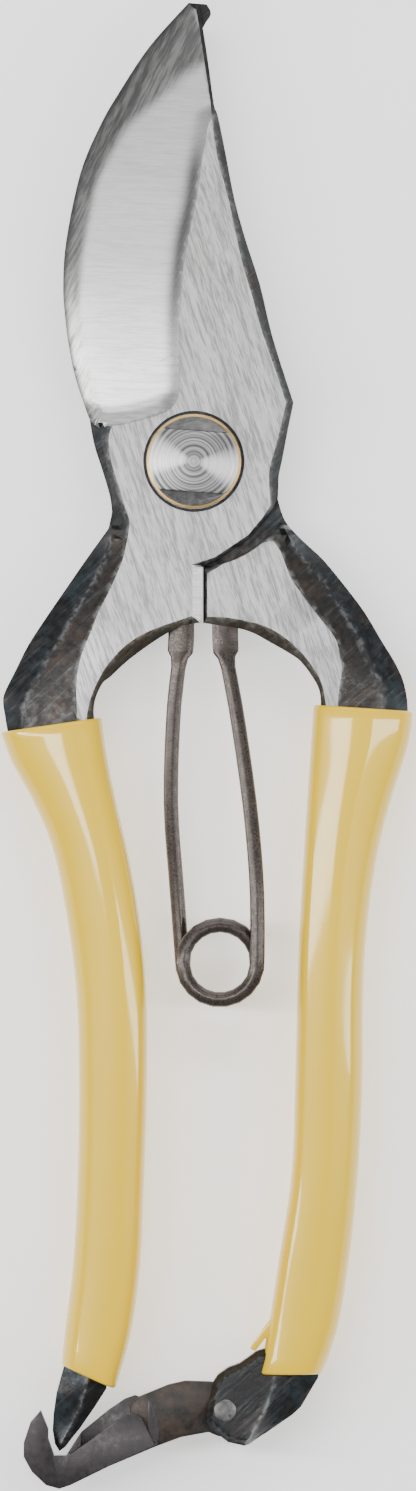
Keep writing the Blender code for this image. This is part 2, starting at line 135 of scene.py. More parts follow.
def acrossAt(run, y):
    # x of a run of points that goes up or down in y, at that height
    ends = sorted(((p[1], p[0]) for p in run))
    if y <= ends[0][0]:
        return ends[0][1]
    for (y0, x0), (y1, x1) in zip(ends, ends[1:]):
        if y <= y1:
            return x0 + (x1 - x0) * (y - y0) / max(y1 - y0, 1e-9)
    return ends[-1][1]


def insideOutline(outline, x, y):
    inside = False
    for (x0, y0), (x1, y1) in zip(outline, outline[1:] + outline[:1]):
        if (y0 > y) != (y1 > y) and x < x0 + (x1 - x0) * (y - y0) / (y1 - y0):
            inside = not inside
    return inside


def nearestOn(run, x, y):
    best = 1e9
    for (x0, y0), (x1, y1) in zip(run, run[1:]):
        dx, dy = x1 - x0, y1 - y0
        t = min(max(((x - x0) * dx + (y - y0) * dy) / max(dx * dx + dy * dy, 1e-12), 0), 1)
        best = min(best, math.hypot(x - x0 - t * dx, y - y0 - t * dy))
    return best


def forging(name, spec, finishes):
    # one forged half: a flat outline cut up along its ridges, raised by its height rule, then given its far side
    outer, flat = spec["outer"], spec["flat"]
    closedRuns = [outer, flat] + [arcRun(0, 0, r, 0, 360 - 360 / 72, 71) for r in spec["circles"]]
    points, edges, known = [], [], {}

    def put(p):
        key = (round(p[0], 4), round(p[1], 4))
        if key not in known:
            known[key] = len(points)
            points.append(Vector(key))
        return known[key]

    def rule(run, closed):
        places = [put(p) for p in run]
        pairs = zip(places, places[1:] + places[:1]) if closed else zip(places, places[1:])
        edges.extend((a, b) for a, b in pairs if a != b)
        return places

    rim = [rule(run, True) for run in closedRuns][0]
    for run in spec["ridges"]:
        rule(run, False)
    step = spec["gridStep"]
    x0, y0, x1, y1 = spec["gridBox"]
    rules = [run for run in spec["ridges"]] + [outer + outer[:1]]
    for i in range(int((x1 - x0) / step)):
        for j in range(int((y1 - y0) / step)):
            x, y = x0 + (i + 0.5 * (j % 2)) * step, y0 + j * step
            if spec["gridInside"](x, y) and min(nearestOn(run, x, y) for run in rules) > step * 0.45:
                put((x, y))
    made = geometry.delaunay_2d_cdt(points, edges, [rim], 1, 1e-5)
    flatPlaces, faces = made[0], made[2]
    shape = bmesh.new()
    top = [shape.verts.new((p.x * mm, p.y * mm, spec["front"](p.x, p.y) * mm)) for p in flatPlaces]
    low = [shape.verts.new((p.x * mm, p.y * mm, spec["rear"](p.x, p.y) * mm)) for p in flatPlaces]
    borders = {}
    for face in faces:
        centre = sum((flatPlaces[i] for i in face), Vector((0, 0))) / len(face)
        if centre.length < spec["bore"] or not insideOutline(outer, centre.x, centre.y):
            continue
        kind = spec["kind"](centre.x, centre.y)
        turned = list(face)
        area = sum(flatPlaces[a].x * flatPlaces[b].y - flatPlaces[b].x * flatPlaces[a].y
                   for a, b in zip(turned, turned[1:] + turned[:1]))
        if area < 0:
            turned.reverse()
        shape.faces.new([top[i] for i in turned]).material_index = kind[0]
        shape.faces.new([low[i] for i in reversed(turned)]).material_index = kind[1]
        for a, b in zip(turned, turned[1:] + turned[:1]):
            if (b, a) in borders:
                borders.pop((b, a))
            else:
                borders[a, b] = True
    for a, b in borders:
        shape.faces.new((top[b], top[a], low[a], low[b])).material_index = spec["wallKind"]
    loose = [v for v in shape.verts if not v.link_faces]
    bmesh.ops.delete(shape, geom=loose, context="VERTS")
    mesh = bpy.data.meshes.new(name)
    shape.to_mesh(mesh)
    shape.free()
    obj = bpy.data.objects.new(name, mesh)
    bpy.context.scene.collection.objects.link(obj)
    for finish in finishes:
        mesh.materials.append(finish)
    for key, rated in spec["marks"].items():
        mark = mesh.attributes.new(key, "FLOAT", "POINT")
        front = len(mesh.vertices) // 2 if key in ("rim", "band", "hollow", "ridge") else len(mesh.vertices)
        mark.data.foreach_set("value", [rated(v.co.x / mm, v.co.y / mm) if v.index < front else 0.0 for v in mesh.vertices])
    choose(obj)
    bpy.ops.object.mode_set(mode="EDIT")
    bpy.ops.mesh.select_all(action="SELECT")
    bpy.ops.mesh.normals_make_consistent(inside=False)
    bpy.ops.object.mode_set(mode="OBJECT")
    shadeByAngle(obj, spec["sharp"])
    return obj


def sculptTube(name, rings, finish, sharp=40):
    # a cylinder cut into rings, each ring then put on its place
    count, sides = len(rings), len(rings[0])
    deselect()
    bpy.ops.mesh.primitive_cylinder_add(vertices=sides, radius=1, depth=1, end_fill_type="NGON")
    obj = bpy.context.object
    obj.name = obj.data.name = name
    bpy.ops.object.mode_set(mode="EDIT")
    shape = bmesh.from_edit_mesh(obj.data)
    for item in list(shape.verts) + list(shape.edges) + list(shape.faces):
        item.select = False
    for edge in shape.edges:
        if abs(edge.verts[0].co.z - edge.verts[1].co.z) > 0.5:
            edge.select = True
    bmesh.update_edit_mesh(obj.data)
    if count > 2:
        bpy.ops.mesh.subdivide(number_cuts=count - 2)
    bpy.ops.object.mode_set(mode="OBJECT")
    for v in obj.data.vertices:
        ring = round((v.co.z + 0.5) * (count - 1))
        side = round(math.atan2(v.co.y, v.co.x) / (2 * math.pi) * sides) % sides
        v.co = [c * mm for c in rings[ring][side]]
    bpy.ops.object.mode_set(mode="EDIT")
    bpy.ops.mesh.select_all(action="SELECT")
    bpy.ops.mesh.normals_make_consistent(inside=False)
    bpy.ops.object.mode_set(mode="OBJECT")
    obj.data.materials.append(finish)
    shadeByAngle(obj, sharp)
    return obj


def newGroup(name, inputs, outputs):
    group = bpy.data.node_groups.new(name, "ShaderNodeTree")
    for label, kind, value in inputs:
        socket = group.interface.new_socket(name=label, in_out="INPUT", socket_type=kind)
        socket.default_value = value
    for label, kind in outputs:
        group.interface.new_socket(name=label, in_out="OUTPUT", socket_type=kind)
    return group, group.nodes.new("NodeGroupInput"), group.nodes.new("NodeGroupOutput")


def link(tree, source, target):
    tree.links.new(source, target)


def mathNode(tree, operation, a, b=None):
    node = tree.nodes.new("ShaderNodeMath")
    node.operation = operation
    for socket, value in zip(node.inputs, (a, b)):
        if value is None:
            continue
        if isinstance(value, (int, float)):
            socket.default_value = value
        else:
            link(tree, value, socket)
    return node.outputs[0]


def mixColour(tree, factor, a, b, blend="MIX"):
    node = tree.nodes.new("ShaderNodeMix")
    node.data_type = "RGBA"
    node.blend_type = blend
    for socket, value in ((node.inputs[0], factor), (node.inputs[6], a), (node.inputs[7], b)):
        if isinstance(value, (int, float, tuple)):
            socket.default_value = value
        else:
            link(tree, value, socket)
    return node.outputs[2]


def rampNode(tree, source, low, high, lowValue=0.0, highValue=1.0):
    node = tree.nodes.new("ShaderNodeMapRange")
    node.interpolation_type = "SMOOTHSTEP"
    link(tree, source, node.inputs[0])
    for socket, value in zip(node.inputs[1:5], (low, high, lowValue, highValue)):
        socket.default_value = value
    return node.outputs[0]


def makeStreaks():
    # fine straight grinding marks, as a value about 0.5
    group, given, out = newGroup(
        "grindingMarks",
        [("Angle", "NodeSocketFloat", 0.0), ("Fineness", "NodeSocketFloat", 900.0), ("Stretch", "NodeSocketFloat", 0.04)],
        [("Marks", "NodeSocketFloat")],
    )
    place = group.nodes.new("ShaderNodeTexCoord")
    turn = group.nodes.new("ShaderNodeVectorRotate")
    turn.rotation_type = "Z_AXIS"
    link(group, place.outputs["Object"], turn.inputs["Vector"])
    link(group, given.outputs["Angle"], turn.inputs["Angle"])
    squeeze = group.nodes.new("ShaderNodeVectorMath")
    squeeze.operation = "MULTIPLY"
    link(group, turn.outputs[0], squeeze.inputs[0])
    sizes = group.nodes.new("ShaderNodeCombineXYZ")
    link(group, given.outputs["Stretch"], sizes.inputs[0])
    sizes.inputs[1].default_value = 1.0
    sizes.inputs[2].default_value = 0.2
    link(group, sizes.outputs[0], squeeze.inputs[1])
    fine = group.nodes.new("ShaderNodeTexNoise")
    fine.inputs["Detail"].default_value = 3.0
    link(group, squeeze.outputs[0], fine.inputs["Vector"])
    link(group, given.outputs["Fineness"], fine.inputs["Scale"])
    coarse = group.nodes.new("ShaderNodeTexNoise")
    coarse.inputs["Detail"].default_value = 2.0
    link(group, squeeze.outputs[0], coarse.inputs["Vector"])
    link(group, mathNode(group, "MULTIPLY", given.outputs["Fineness"], 0.3), coarse.inputs["Scale"])
    both = mathNode(group, "MULTIPLY", mathNode(group, "ADD", fine.outputs[0], coarse.outputs[0]), 0.5)
    link(group, both, out.inputs[0])
    return group


def makeMottle():
    # blotches of scale, temper tint or rust, 0 to 1
    group, given, out = newGroup(
        "scaleBlotches",
        [("Size", "NodeSocketFloat", 300.0), ("Low", "NodeSocketFloat", 0.42), ("High", "NodeSocketFloat", 0.62)],
        [("Mask", "NodeSocketFloat"), ("Bumps", "NodeSocketFloat")],
    )
    place = group.nodes.new("ShaderNodeTexCoord")
    blotch = group.nodes.new("ShaderNodeTexNoise")
    blotch.inputs["Detail"].default_value = 5.0
    blotch.inputs["Roughness"].default_value = 0.62
    link(group, place.outputs["Object"], blotch.inputs["Vector"])
    link(group, given.outputs["Size"], blotch.inputs["Scale"])
    spread = group.nodes.new("ShaderNodeMapRange")
    link(group, blotch.outputs[0], spread.inputs[0])
    link(group, given.outputs["Low"], spread.inputs[1])
    link(group, given.outputs["High"], spread.inputs[2])
    pits = group.nodes.new("ShaderNodeTexNoise")
    pits.inputs["Detail"].default_value = 4.0
    link(group, place.outputs["Object"], pits.inputs["Vector"])
    link(group, mathNode(group, "MULTIPLY", given.outputs["Size"], 4.0), pits.inputs["Scale"])
    link(group, spread.outputs[0], out.inputs[0])
    link(group, pits.outputs[0], out.inputs[1])
    return group


streaks, mottle = makeStreaks(), makeMottle()


def newFinish(name, metallic, roughness):
    made = bpy.data.materials.new(name)
    made.use_nodes = True
    shader = made.node_tree.nodes["Principled BSDF"]
    shader.inputs["Metallic"].default_value = metallic
    shader.inputs["Roughness"].default_value = roughness
    return made, made.node_tree, shader


def placeGroup(tree, group, **values):
    node = tree.nodes.new("ShaderNodeGroup")
    node.node_tree = group
    for key, value in values.items():
        node.inputs[key].default_value = value
    return node


def bumpFrom(tree, shader, height, strength, distance):
    bump = tree.nodes.new("ShaderNodeBump")
    bump.inputs["Strength"].default_value = strength
    bump.inputs["Distance"].default_value = distance
    link(tree, height, bump.inputs["Height"])
    link(tree, bump.outputs[0], shader.inputs["Normal"])


def markOf(tree, key):
    node = tree.nodes.new("ShaderNodeAttribute")
    node.attribute_name = key
    return node.outputs["Fac"]


def heightAlong(tree):
    place = tree.nodes.new("ShaderNodeTexCoord")
    split = tree.nodes.new("ShaderNodeSeparateXYZ")
    link(tree, place.outputs["Object"], split.inputs[0])
    return split


groundColours = {
    "flat": (0.49, 0.49, 0.49, 1),
    "flatDark": (0.23, 0.23, 0.232, 1),
    "flatStain": (0.27, 0.25, 0.225, 1),
    "hollow": (0.50, 0.50, 0.497, 1),
    "hollowRow": (0.29, 0.29, 0.29, 1),
    # hollowLowHighlight: painted highlight, the hollow's lower end lit near-white
    "hollowLowHighlight": (0.86, 0.86, 0.85, 1),
    # ridge: painted shadow beside the hollow's ridge and over the stop strip
    "ridge": (0.07, 0.07, 0.072, 1),
    # band and bandHighlight: painted reflection of the edge bevel, dark towards the tip and lit towards the heel;
    # bandScratch: its real scratches
    "band": (0.085, 0.084, 0.084, 1),
    "bandScratch": (0.17, 0.168, 0.165, 1),
    "bandHighlight": (0.82, 0.81, 0.79, 1),
    # rim: painted shade, a dark line along the cutting edge's micro-bevel
    "rim": (0.06, 0.06, 0.06, 1),
    "worn": (0.55, 0.55, 0.55, 1),
}


def groundSteel():
    made, tree, shader = newFinish("groundSteel", 0.75, 0.40)
    marks = placeGroup(tree, streaks, Angle=math.radians(-108), Fineness=8000.0, Stretch=0.09)
    broad = placeGroup(tree, streaks, Angle=math.radians(-108), Fineness=2600.0, Stretch=0.12)
    rows = placeGroup(tree, streaks, Angle=math.radians(2), Fineness=9000.0, Stretch=0.06)
    scratches = placeGroup(tree, streaks, Angle=math.radians(-64), Fineness=4200.0, Stretch=0.11)
    stain = placeGroup(tree, mottle, Size=120.0, Low=0.52, High=0.74)
    hollow, band, ridge = markOf(tree, "hollow"), markOf(tree, "band"), markOf(tree, "ridge")
    along = heightAlong(tree).outputs["Y"]
    flat = mixColour(tree, rampNode(tree, marks.outputs[0], 0.38, 0.58), groundColours["flatDark"], groundColours["flat"])
    flat = mixColour(tree, rampNode(tree, broad.outputs[0], 0.36, 0.6, 0.3, 0.0), flat, groundColours["flatDark"])
    flat = mixColour(tree, mathNode(tree, "MULTIPLY", stain.outputs[0], 0.3), flat, groundColours["flatStain"])
    # painted highlight: below about 30 mm the hollow brightens towards near-white
    deep = mixColour(tree, rampNode(tree, along, 0.005, 0.030, 0.9, 0.0), groundColours["hollow"], groundColours["hollowLowHighlight"])
    deep = mixColour(tree, rampNode(tree, rows.outputs[0], 0.36, 0.6, 0.4, 0.0), deep, groundColours["hollowRow"])
    # painted shadow along the hollow's ridge
    deep = mixColour(tree, mathNode(tree, "MULTIPLY", ridge, 0.95), deep, groundColours["ridge"])
    # painted reflection of the edge bevel: dark with real scratches towards the tip, a painted highlight towards the
    # heel
    dark = mixColour(tree, rampNode(tree, scratches.outputs[0], 0.42, 0.62), groundColours["band"], groundColours["bandScratch"])
    bright = mixColour(tree, rampNode(tree, scratches.outputs[0], 0.3, 0.6), groundColours["hollowRow"], groundColours["bandHighlight"])
    edge = mixColour(tree, rampNode(tree, along, 0.013, 0.027), bright, dark)
    colour = mixColour(tree, hollow, flat, deep)
    colour = mixColour(tree, band, colour, edge)
    # painted shade: the dark line along the cutting edge's micro-bevel
    colour = mixColour(tree, mathNode(tree, "MULTIPLY", markOf(tree, "rim"), 0.85), colour, groundColours["rim"])
    link(tree, colour, shader.inputs["Base Color"])
    bumpFrom(tree, shader, mathNode(tree, "ADD", marks.outputs[0], rows.outputs[0]), 0.3, 0.00003)
    return made


def forgedBlack():
    made, tree, shader = newFinish("forgedBlack", 0.5, 0.40)
    tint = placeGroup(tree, mottle, Size=260.0, Low=0.44, High=0.62)
    rust = placeGroup(tree, mottle, Size=420.0, Low=0.5, High=0.68)
    lines = placeGroup(tree, streaks, Angle=math.radians(-42), Fineness=3600.0, Stretch=0.06)
    facet, worn = markOf(tree, "facet"), markOf(tree, "worn")
    inner = mixColour(tree, rust.outputs[0], (0.018, 0.017, 0.016, 1), (0.042, 0.029, 0.023, 1))
    outer = mixColour(tree, tint.outputs[0], (0.009, 0.010, 0.012, 1), (0.014, 0.023, 0.028, 1))
    outer = mixColour(tree, mathNode(tree, "MULTIPLY", rust.outputs[0], 0.35), outer, (0.040, 0.027, 0.020, 1))
    colour = mixColour(tree, facet, inner, outer)
    colour = mixColour(tree, rampNode(tree, lines.outputs[0], 0.5, 0.68, 0.0, 0.42), colour, (0.085, 0.085, 0.085, 1))
    colour = mixColour(tree, mathNode(tree, "MULTIPLY", worn, rampNode(tree, tint.outputs[1], 0.45, 0.6, 0.08, 0.32)), colour, groundColours["worn"])
    link(tree, colour, shader.inputs["Base Color"])
    link(tree, rampNode(tree, tint.outputs[1], 0.3, 0.7, 0.30, 0.52), shader.inputs["Roughness"])
    bumpFrom(tree, shader, mathNode(tree, "ADD", tint.outputs[1], lines.outputs[0]), 0.5, 0.00010)
    return made


def vinylYellow():
    made, tree, shader = newFinish("vinylYellow", 0.0, 0.3)
    cloud = placeGroup(tree, mottle, Size=60.0, Low=0.35, High=0.7)
    colour = mixColour(tree, mathNode(tree, "MULTIPLY", cloud.outputs[0], 0.35), (0.78, 0.50, 0.0, 1), (0.82, 0.55, 0.0, 1))
    link(tree, colour, shader.inputs["Base Color"])
    shader.inputs["Coat Weight"].default_value = 0.6
    shader.inputs["Specular IOR Level"].default_value = 0.3
    shader.inputs["Coat Roughness"].default_value = 0.06
    # painted glow: the yellow emission lifts the grips with light of their own
    shader.inputs["Emission Color"].default_value = (1.0, 0.66, 0.0, 1)
    shader.inputs["Emission Strength"].default_value = 0.14
    bumpFrom(tree, shader, cloud.outputs[1], 0.12, 0.0002)
    return made


def plainMetal(name, low, high, metallic, roughness, size=420.0, bump=0.25):
    made, tree, shader = newFinish(name, metallic, roughness)
    blotches = placeGroup(tree, mottle, Size=size, Low=0.4, High=0.65)
    link(tree, mixColour(tree, blotches.outputs[0], low, high), shader.inputs["Base Color"])
    link(tree, rampNode(tree, blotches.outputs[1], 0.3, 0.7, roughness - 0.06, roughness + 0.08), shader.inputs["Roughness"])
    bumpFrom(tree, shader, blotches.outputs[1], bump, 0.00006)
    return made


def turnedSteel():
    # rings left by the lathe, round the bolt's own axis, with a painted highlight fanning across them
    made, tree, shader = newFinish("turnedSteel", 0.8, 0.36)
    split = heightAlong(tree)
    squares = mathNode(tree, "ADD", mathNode(tree, "MULTIPLY", split.outputs["X"], split.outputs["X"]),
                       mathNode(tree, "MULTIPLY", split.outputs["Y"], split.outputs["Y"]))
    radius = mathNode(tree, "SQRT", squares)
    rings = tree.nodes.new("ShaderNodeTexNoise")
    rings.noise_dimensions = "1D"
    rings.inputs["Detail"].default_value = 3.0
    rings.inputs["Scale"].default_value = 1.0
    link(tree, mathNode(tree, "MULTIPLY", radius, 2600.0), rings.inputs["W"])
    # painted highlight: a bow-tie fan of light across the rings, none at the centre
    turn = mathNode(tree, "ARCTAN2", split.outputs["Y"], split.outputs["X"])
    fan = mathNode(tree, "SINE", mathNode(tree, "ADD", mathNode(tree, "MULTIPLY", turn, 2.0), 1.9))
    glint = mathNode(tree, "MULTIPLY", rampNode(tree, fan, 0.35, 1.0, 0.0, 0.62), rampNode(tree, radius, 0.0004, 0.0016))
    colour = mixColour(tree, rampNode(tree, rings.outputs[0], 0.38, 0.6), (0.085, 0.085, 0.085, 1), (0.32, 0.32, 0.32, 1))
    colour = mixColour(tree, glint, colour, (0.74, 0.74, 0.74, 1))
    link(tree, colour, shader.inputs["Base Color"])
    bumpFrom(tree, shader, rings.outputs[0], 0.6, 0.00008)
    return made


finishes = {
    "ground": groundSteel(),
    "forged": forgedBlack(),
    "vinyl": vinylYellow(),
    "brass": plainMetal("brass", (0.52, 0.33, 0.11, 1), (0.70, 0.47, 0.17, 1), 0.85, 0.36),
    "bronzed": plainMetal("bronzedWire", (0.044, 0.036, 0.032, 1), (0.062, 0.050, 0.043, 1), 0.6, 0.3, 900.0, 0.1),
    "blacked": plainMetal("blackedCatch", (0.022, 0.019, 0.021, 1), (0.038, 0.032, 0.035, 1), 0.45, 0.36, 300.0),
    "link": plainMetal("brownLink", (0.014, 0.012, 0.011, 1), (0.052, 0.035, 0.026, 1), 0.4, 0.46, 420.0, 0.6),
    "turned": turnedSteel(),
    "milled": plainMetal("milledFlat", (0.08, 0.08, 0.08, 1), (0.14, 0.14, 0.14, 1), 0.75, 0.38, 900.0),
    "rivet": plainMetal("groundRivet", (0.06, 0.06, 0.06, 1), (0.20, 0.20, 0.20, 1), 0.7, 0.42, 700.0),
}
print("finishes made")


def extruded(name, outline, low, high, finish=None):
    deselect()
    bpy.ops.mesh.primitive_circle_add(vertices=len(outline), fill_type="NGON")
    obj = bpy.context.object
    obj.name = obj.data.name = name
    for vertex, (x, y) in zip(obj.data.vertices, outline):
        vertex.co = (x * mm, y * mm, low * mm)
    bpy.ops.object.mode_set(mode="EDIT")
    bpy.ops.mesh.select_all(action="SELECT")
    bpy.ops.mesh.extrude_region_move(TRANSFORM_OT_translate={"value": (0, 0, (high - low) * mm)})
    bpy.ops.mesh.select_all(action="SELECT")
    bpy.ops.mesh.normals_make_consistent(inside=False)
    bpy.ops.object.mode_set(mode="OBJECT")
    if finish:
        obj.data.materials.append(finish)
    return obj


def combine(obj, other, operation="DIFFERENCE"):
    choose(obj)
    modifier = obj.modifiers.new(operation.lower(), "BOOLEAN")
    modifier.operation, modifier.object, modifier.solver = operation, other, "EXACT"
    bpy.ops.object.modifier_apply(modifier=modifier.name)
    bpy.data.objects.remove(other, do_unlink=True)


def bevelled(obj, width, segments=2, angle=32, sharp=32):
    choose(obj)
    modifier = obj.modifiers.new("bevel", "BEVEL")
    modifier.width, modifier.segments, modifier.limit_method = width * mm, segments, "ANGLE"
    modifier.angle_limit = math.radians(angle)
    modifier.harden_normals = False
    bpy.ops.object.modifier_apply(modifier=modifier.name)
    shadeByAngle(obj, sharp)
    return obj


def roundBar(name, x, y, radius, low, high, sides, finish=None):
    return extruded(name, arcRun(x, y, radius, 0, 360 - 360 / sides, sides - 1), low, high, finish)


# the blade arm, in front
arms = {
    "mirror": frontZ + rearZ,
    "sweep": 14.2, "sweepTop": -8.55,
    "bore": 4.3, "groove": (6.4, 6.8), "grooveDeep": 0.35,
    "chamferSlope": 1.25, "thinDrop": 1.7, "fullDrop": 3.3, "ridgeShare": 0.42,
    "grid": 0.6, "sharp": 24,
}
blade = {
    "edge": [(-0.7, 61.8), (-5.9, 56), (-9.9, 50), (-12.6, 45.3), (-15.3, 38.8), (-17.2, 29.7), (-17.6, 23.6),
             (-17.3, 19.1), (-16.8, 15.4), (-15.9, 11.1), (-14.0, 5.5)],
    "neck": [(-12.6, 4.4), (-12.2, 1.6), (-11.6, -1.2), (-11.1, -4.2), (-11.0, -6.6), (-11.5, -9.0)],
    "shoulder": [(-11.5, -9), (-14.6, -13.3), (-17.5, -17.5), (-19.9, -21), (-22.3, -24.7), (-24, -28.1),
                 (-25.4, -30.9), (-25.7, -32.3), (-25.4, -34.4), (-25.1, -36.2), (-24.7, -38), (-23.9, -40.5)],
    "arch": [(-12.7, -40.5), (-13.2, -36.5), (-13.5, -33.6), (-13.2, -31.7), (-12.3, -29.8), (-11.2, -28.9),
             (-8.7, -26.6), (-4.8, -23.8), (-1.9, -22.2), (-0.1, -21.8), (1.1, -21.6)],
    "lower": [(1.1, -14.2), (2.8, -13.4), (7.5, -10.2), (9.4, -7.9), (10.7, -6.2)],
    "spine": [(11.1, -5.2), (11.4, -2.1), (11.9, 0.3), (12.6, 4.0), (13.4, 7.9)],
    "spineUp": [(13.4, 7.9), (10.6, 16.7), (8.9, 23.8), (7.1, 29.4), (5.5, 35.1), (4.2, 41.8), (3.2, 46.6),
                (2.7, 48.0), (1.9, 53.9), (1.2, 58.4), (0.7, 61.4)],
    "flatLeft": [(-11.0, 4.7), (-11.4, 3.6), (-11.4, 1.6), (-10.9, -0.8), (-10.2, -3), (-9.5, -5.6), (-8.7, -7.8),
                 (-8.7, -9), (-9.1, -11.3), (-9.7, -13.6), (-11.5, -17.7), (-12.9, -20.4), (-13.7, -22.6),
                 (-14.6, -24.7), (-15.4, -27.1), (-15.8, -30.2), (-15.7, -34.4), (-15.5, -40.0)],
    "flatArch": [(-14.6, -40.0), (-14.5, -36.5), (-14.4, -34.4), (-14, -32.2), (-13.3, -30.4), (-12.3, -28.4),
                 (-11, -26.6), (-8.9, -24.5), (-6, -22.8), (-2.4, -21.5), (-0.3, -20.8)],
    "flatRight": [(10.3, -6.0), (10.2, -4.2), (10.1, -2.7), (10.2, -0.8), (10.9, 1.7), (11.7, 4.8), (12.4, 7.9)],
    "flatSpine": [(12.4, 7.9), (11, 12.1), (9.1, 17.6), (7.9, 22), (6.3, 27.5), (4.7, 35.1), (3.2, 40.7), (2.4, 46.2)],
    "flatTip": [(2.4, 46.2), (2.2, 48.5), (1.4, 53.9), (0.8, 58.0), (0.3, 60.9)],
    "ridge": [(2.4, 46.2), (1.7, 44.1), (0.3, 34.8), (-1.1, 28.1), (-1.9, 19.2), (-1.9, 10.5), (-2.2, 8.4),
              (-3.2, 7.0), (-5.2, 6.1), (-8.4, 5.2), (-11.4, 4.8), (-14.0, 5.5)],
    "facet": [(-11.2, -11.0), (-12.8, -14.8), (-16.2, -20.7), (-17.9, -23.8), (-21, -28.9), (-22.9, -33), (-22.4, -40.4)],
    "edgeZ": 0.25, "bevelWide": 0.6, "bevelRise": 0.4, "bandWide": 3.2, "bandRise": 0.85, "hollowWide": 11.0,
    "hollowRise": 1.35, "fillet": 2.6,
}
bladeEdge = smoothRun(blade["edge"], 5)
bladeRim = []
for (x0, y0), (x1, y1) in zip(bladeEdge[1:-3], bladeEdge[3:-1]):
    length = math.hypot(x1 - x0, y1 - y0)
    bladeRim.append(((x0 + x1) / 2 - (y1 - y0) / length * blade["bevelWide"], (y0 + y1) / 2 + (x1 - x0) / length * blade["bevelWide"]))
bladeRidge = smoothRun(blade["ridge"], 3)
bladeNeck = smoothRun(blade["neck"], 3)
bladeShoulder = smoothRun(blade["shoulder"], 3)
bladeArch = smoothRun(blade["arch"], 3)
bladeSpine = smoothRun(blade["spine"], 3)
bladeSpineUp = smoothRun(blade["spineUp"], 3)
bladeOuter = (bladeEdge + bladeNeck[:-1] + bladeShoulder + bladeArch + blade["lower"] + bladeSpine[:-1] + bladeSpineUp)
bladeFlat = ([(-11.6, 4.8)] + smoothRun(blade["flatLeft"], 2) + smoothRun(blade["flatArch"], 2) + [(-0.3, -13.9), (2.8, -12.9), (7.3, -9.9), (9.2, -7.6)]
             + smoothRun(blade["flatRight"], 2)[:-1] + smoothRun(blade["flatSpine"], 2)[:-1] + [p for p in bladeRidge if p[0] > -11.4])
bladeHollow = bladeEdge + bladeRidge[::-1] + smoothRun(blade["flatTip"], 2)[1:]
bladeFacetRun = smoothRun(blade["facet"], 2)
bladeFacet = bladeFacetRun + bladeShoulder[::-1]
bladeStrip = [(-0.3, -13.9), (-0.3, -20.8), (1.1, -21.6), (1.1, -14.2)]
bladeTipOuter = bladeSpineUp[bladeSpineUp.index((3.2, 46.6)):]


def chamfer(x, y, outer, flat, full, facetRun, facet):
    # how far the forged skin falls away from the ground flat, with a second steeper facet on the shoulders
    toFlat, toOuter = nearestOn(flat + flat[:1], x, y), nearestOn(outer + outer[:1], x, y)
    wide = toFlat + toOuter
    drop = min(arms["chamferSlope"] * wide, arms["fullDrop"] if full else arms["thinDrop"])
    if not full or toOuter < 0.02:
        return drop * toFlat / max(wide, 1e-6)
    toRidge = nearestOn(facetRun, x, y)
    share = arms["ridgeShare"] * smoothStep(0.5, 3.0, wide)
    if insideOutline(facet, x, y) and toRidge > 1e-3:
        return drop * (share + (1 - share) * toRidge / max(toRidge + toOuter, 1e-6))
    return drop * (share * toFlat / max(toFlat + toRidge, 1e-6) if wide > 3 else toFlat / max(wide, 1e-6))


def fullThick(x, y):
    return math.hypot(x, y) > arms["sweep"] + 0.04 and y < arms["sweepTop"]


def bladeGrind(x, y):
    toEdge, toRidge = nearestOn(bladeEdge, x, y), nearestOn(bladeRidge, x, y)
    z = slideZ + blade["edgeZ"] + blade["bevelRise"] * min(toEdge / blade["bevelWide"], 1)
    z += blade["bandRise"] * smoothStep(blade["bevelWide"] * 0.6, blade["bandWide"], toEdge)
    z += blade["hollowRise"] * min(max(toEdge - blade["bandWide"], 0) / blade["hollowWide"], 1) ** 0.8
    share = 1 - (1 - min(toRidge / blade["fillet"], 1)) ** 2
    return z * share + frontZ * (1 - share)


def bladeFront(x, y):
    radius = math.hypot(x, y)
    if arms["groove"][0] + 0.02 < radius < arms["groove"][1] - 0.02:
        return frontZ - arms["grooveDeep"]
    if insideOutline(bladeHollow, x, y) or nearestOn(bladeEdge, x, y) < 1e-3:
        return bladeGrind(x, y)
    if insideOutline(bladeFlat, x, y) or nearestOn(bladeFlat + bladeFlat[:1], x, y) < 1e-3:
        return frontZ
    if y > 46.2:
        wide = nearestOn(blade["flatTip"], x, y) + nearestOn(bladeTipOuter, x, y)
        return bladeGrind(x, y) - 0.9 * min(wide, 1.2) * nearestOn(blade["flatTip"], x, y) / max(wide, 1e-6)
    if x > -0.4 and -22 < y < -13 and x < 1.2:
        return frontZ - 0.5 * smoothStep(-0.3, 1.1, x)
    return frontZ - chamfer(x, y, bladeOuter, bladeFlat, fullThick(x, y) or y < -9, bladeFacetRun, bladeFacet)


def tucked(rule, x, y, mouth):
    # thinner where the grip's mouth closes round it
    top = rule(x, y)
    return middle + (top - middle) * (1 - 0.32 * smoothStep(mouth - 0.3, mouth - 2.2, y)) if y < -30 else top


def bladeTop(x, y):
    return tucked(bladeFront, x, y, -34.4 + 2.0 * (x + 12.4) / 13.6)


def bladeRear(x, y):
    return arms["mirror"] - bladeTop(x, y) if fullThick(x, y) else slideZ


def bladeKind(x, y):
    # painted shadow: the shallow groove round the washer takes the dark forged finish, standing in for the shadow ring
    # there
    if arms["groove"][0] < math.hypot(x, y) < arms["groove"][1]:
        return 1, 0
    ground = insideOutline(bladeHollow, x, y) or insideOutline(bladeFlat, x, y) or insideOutline(bladeStrip, x, y)
    return (0 if ground else 1), (0 if ground or not fullThick(x, y) else 1)


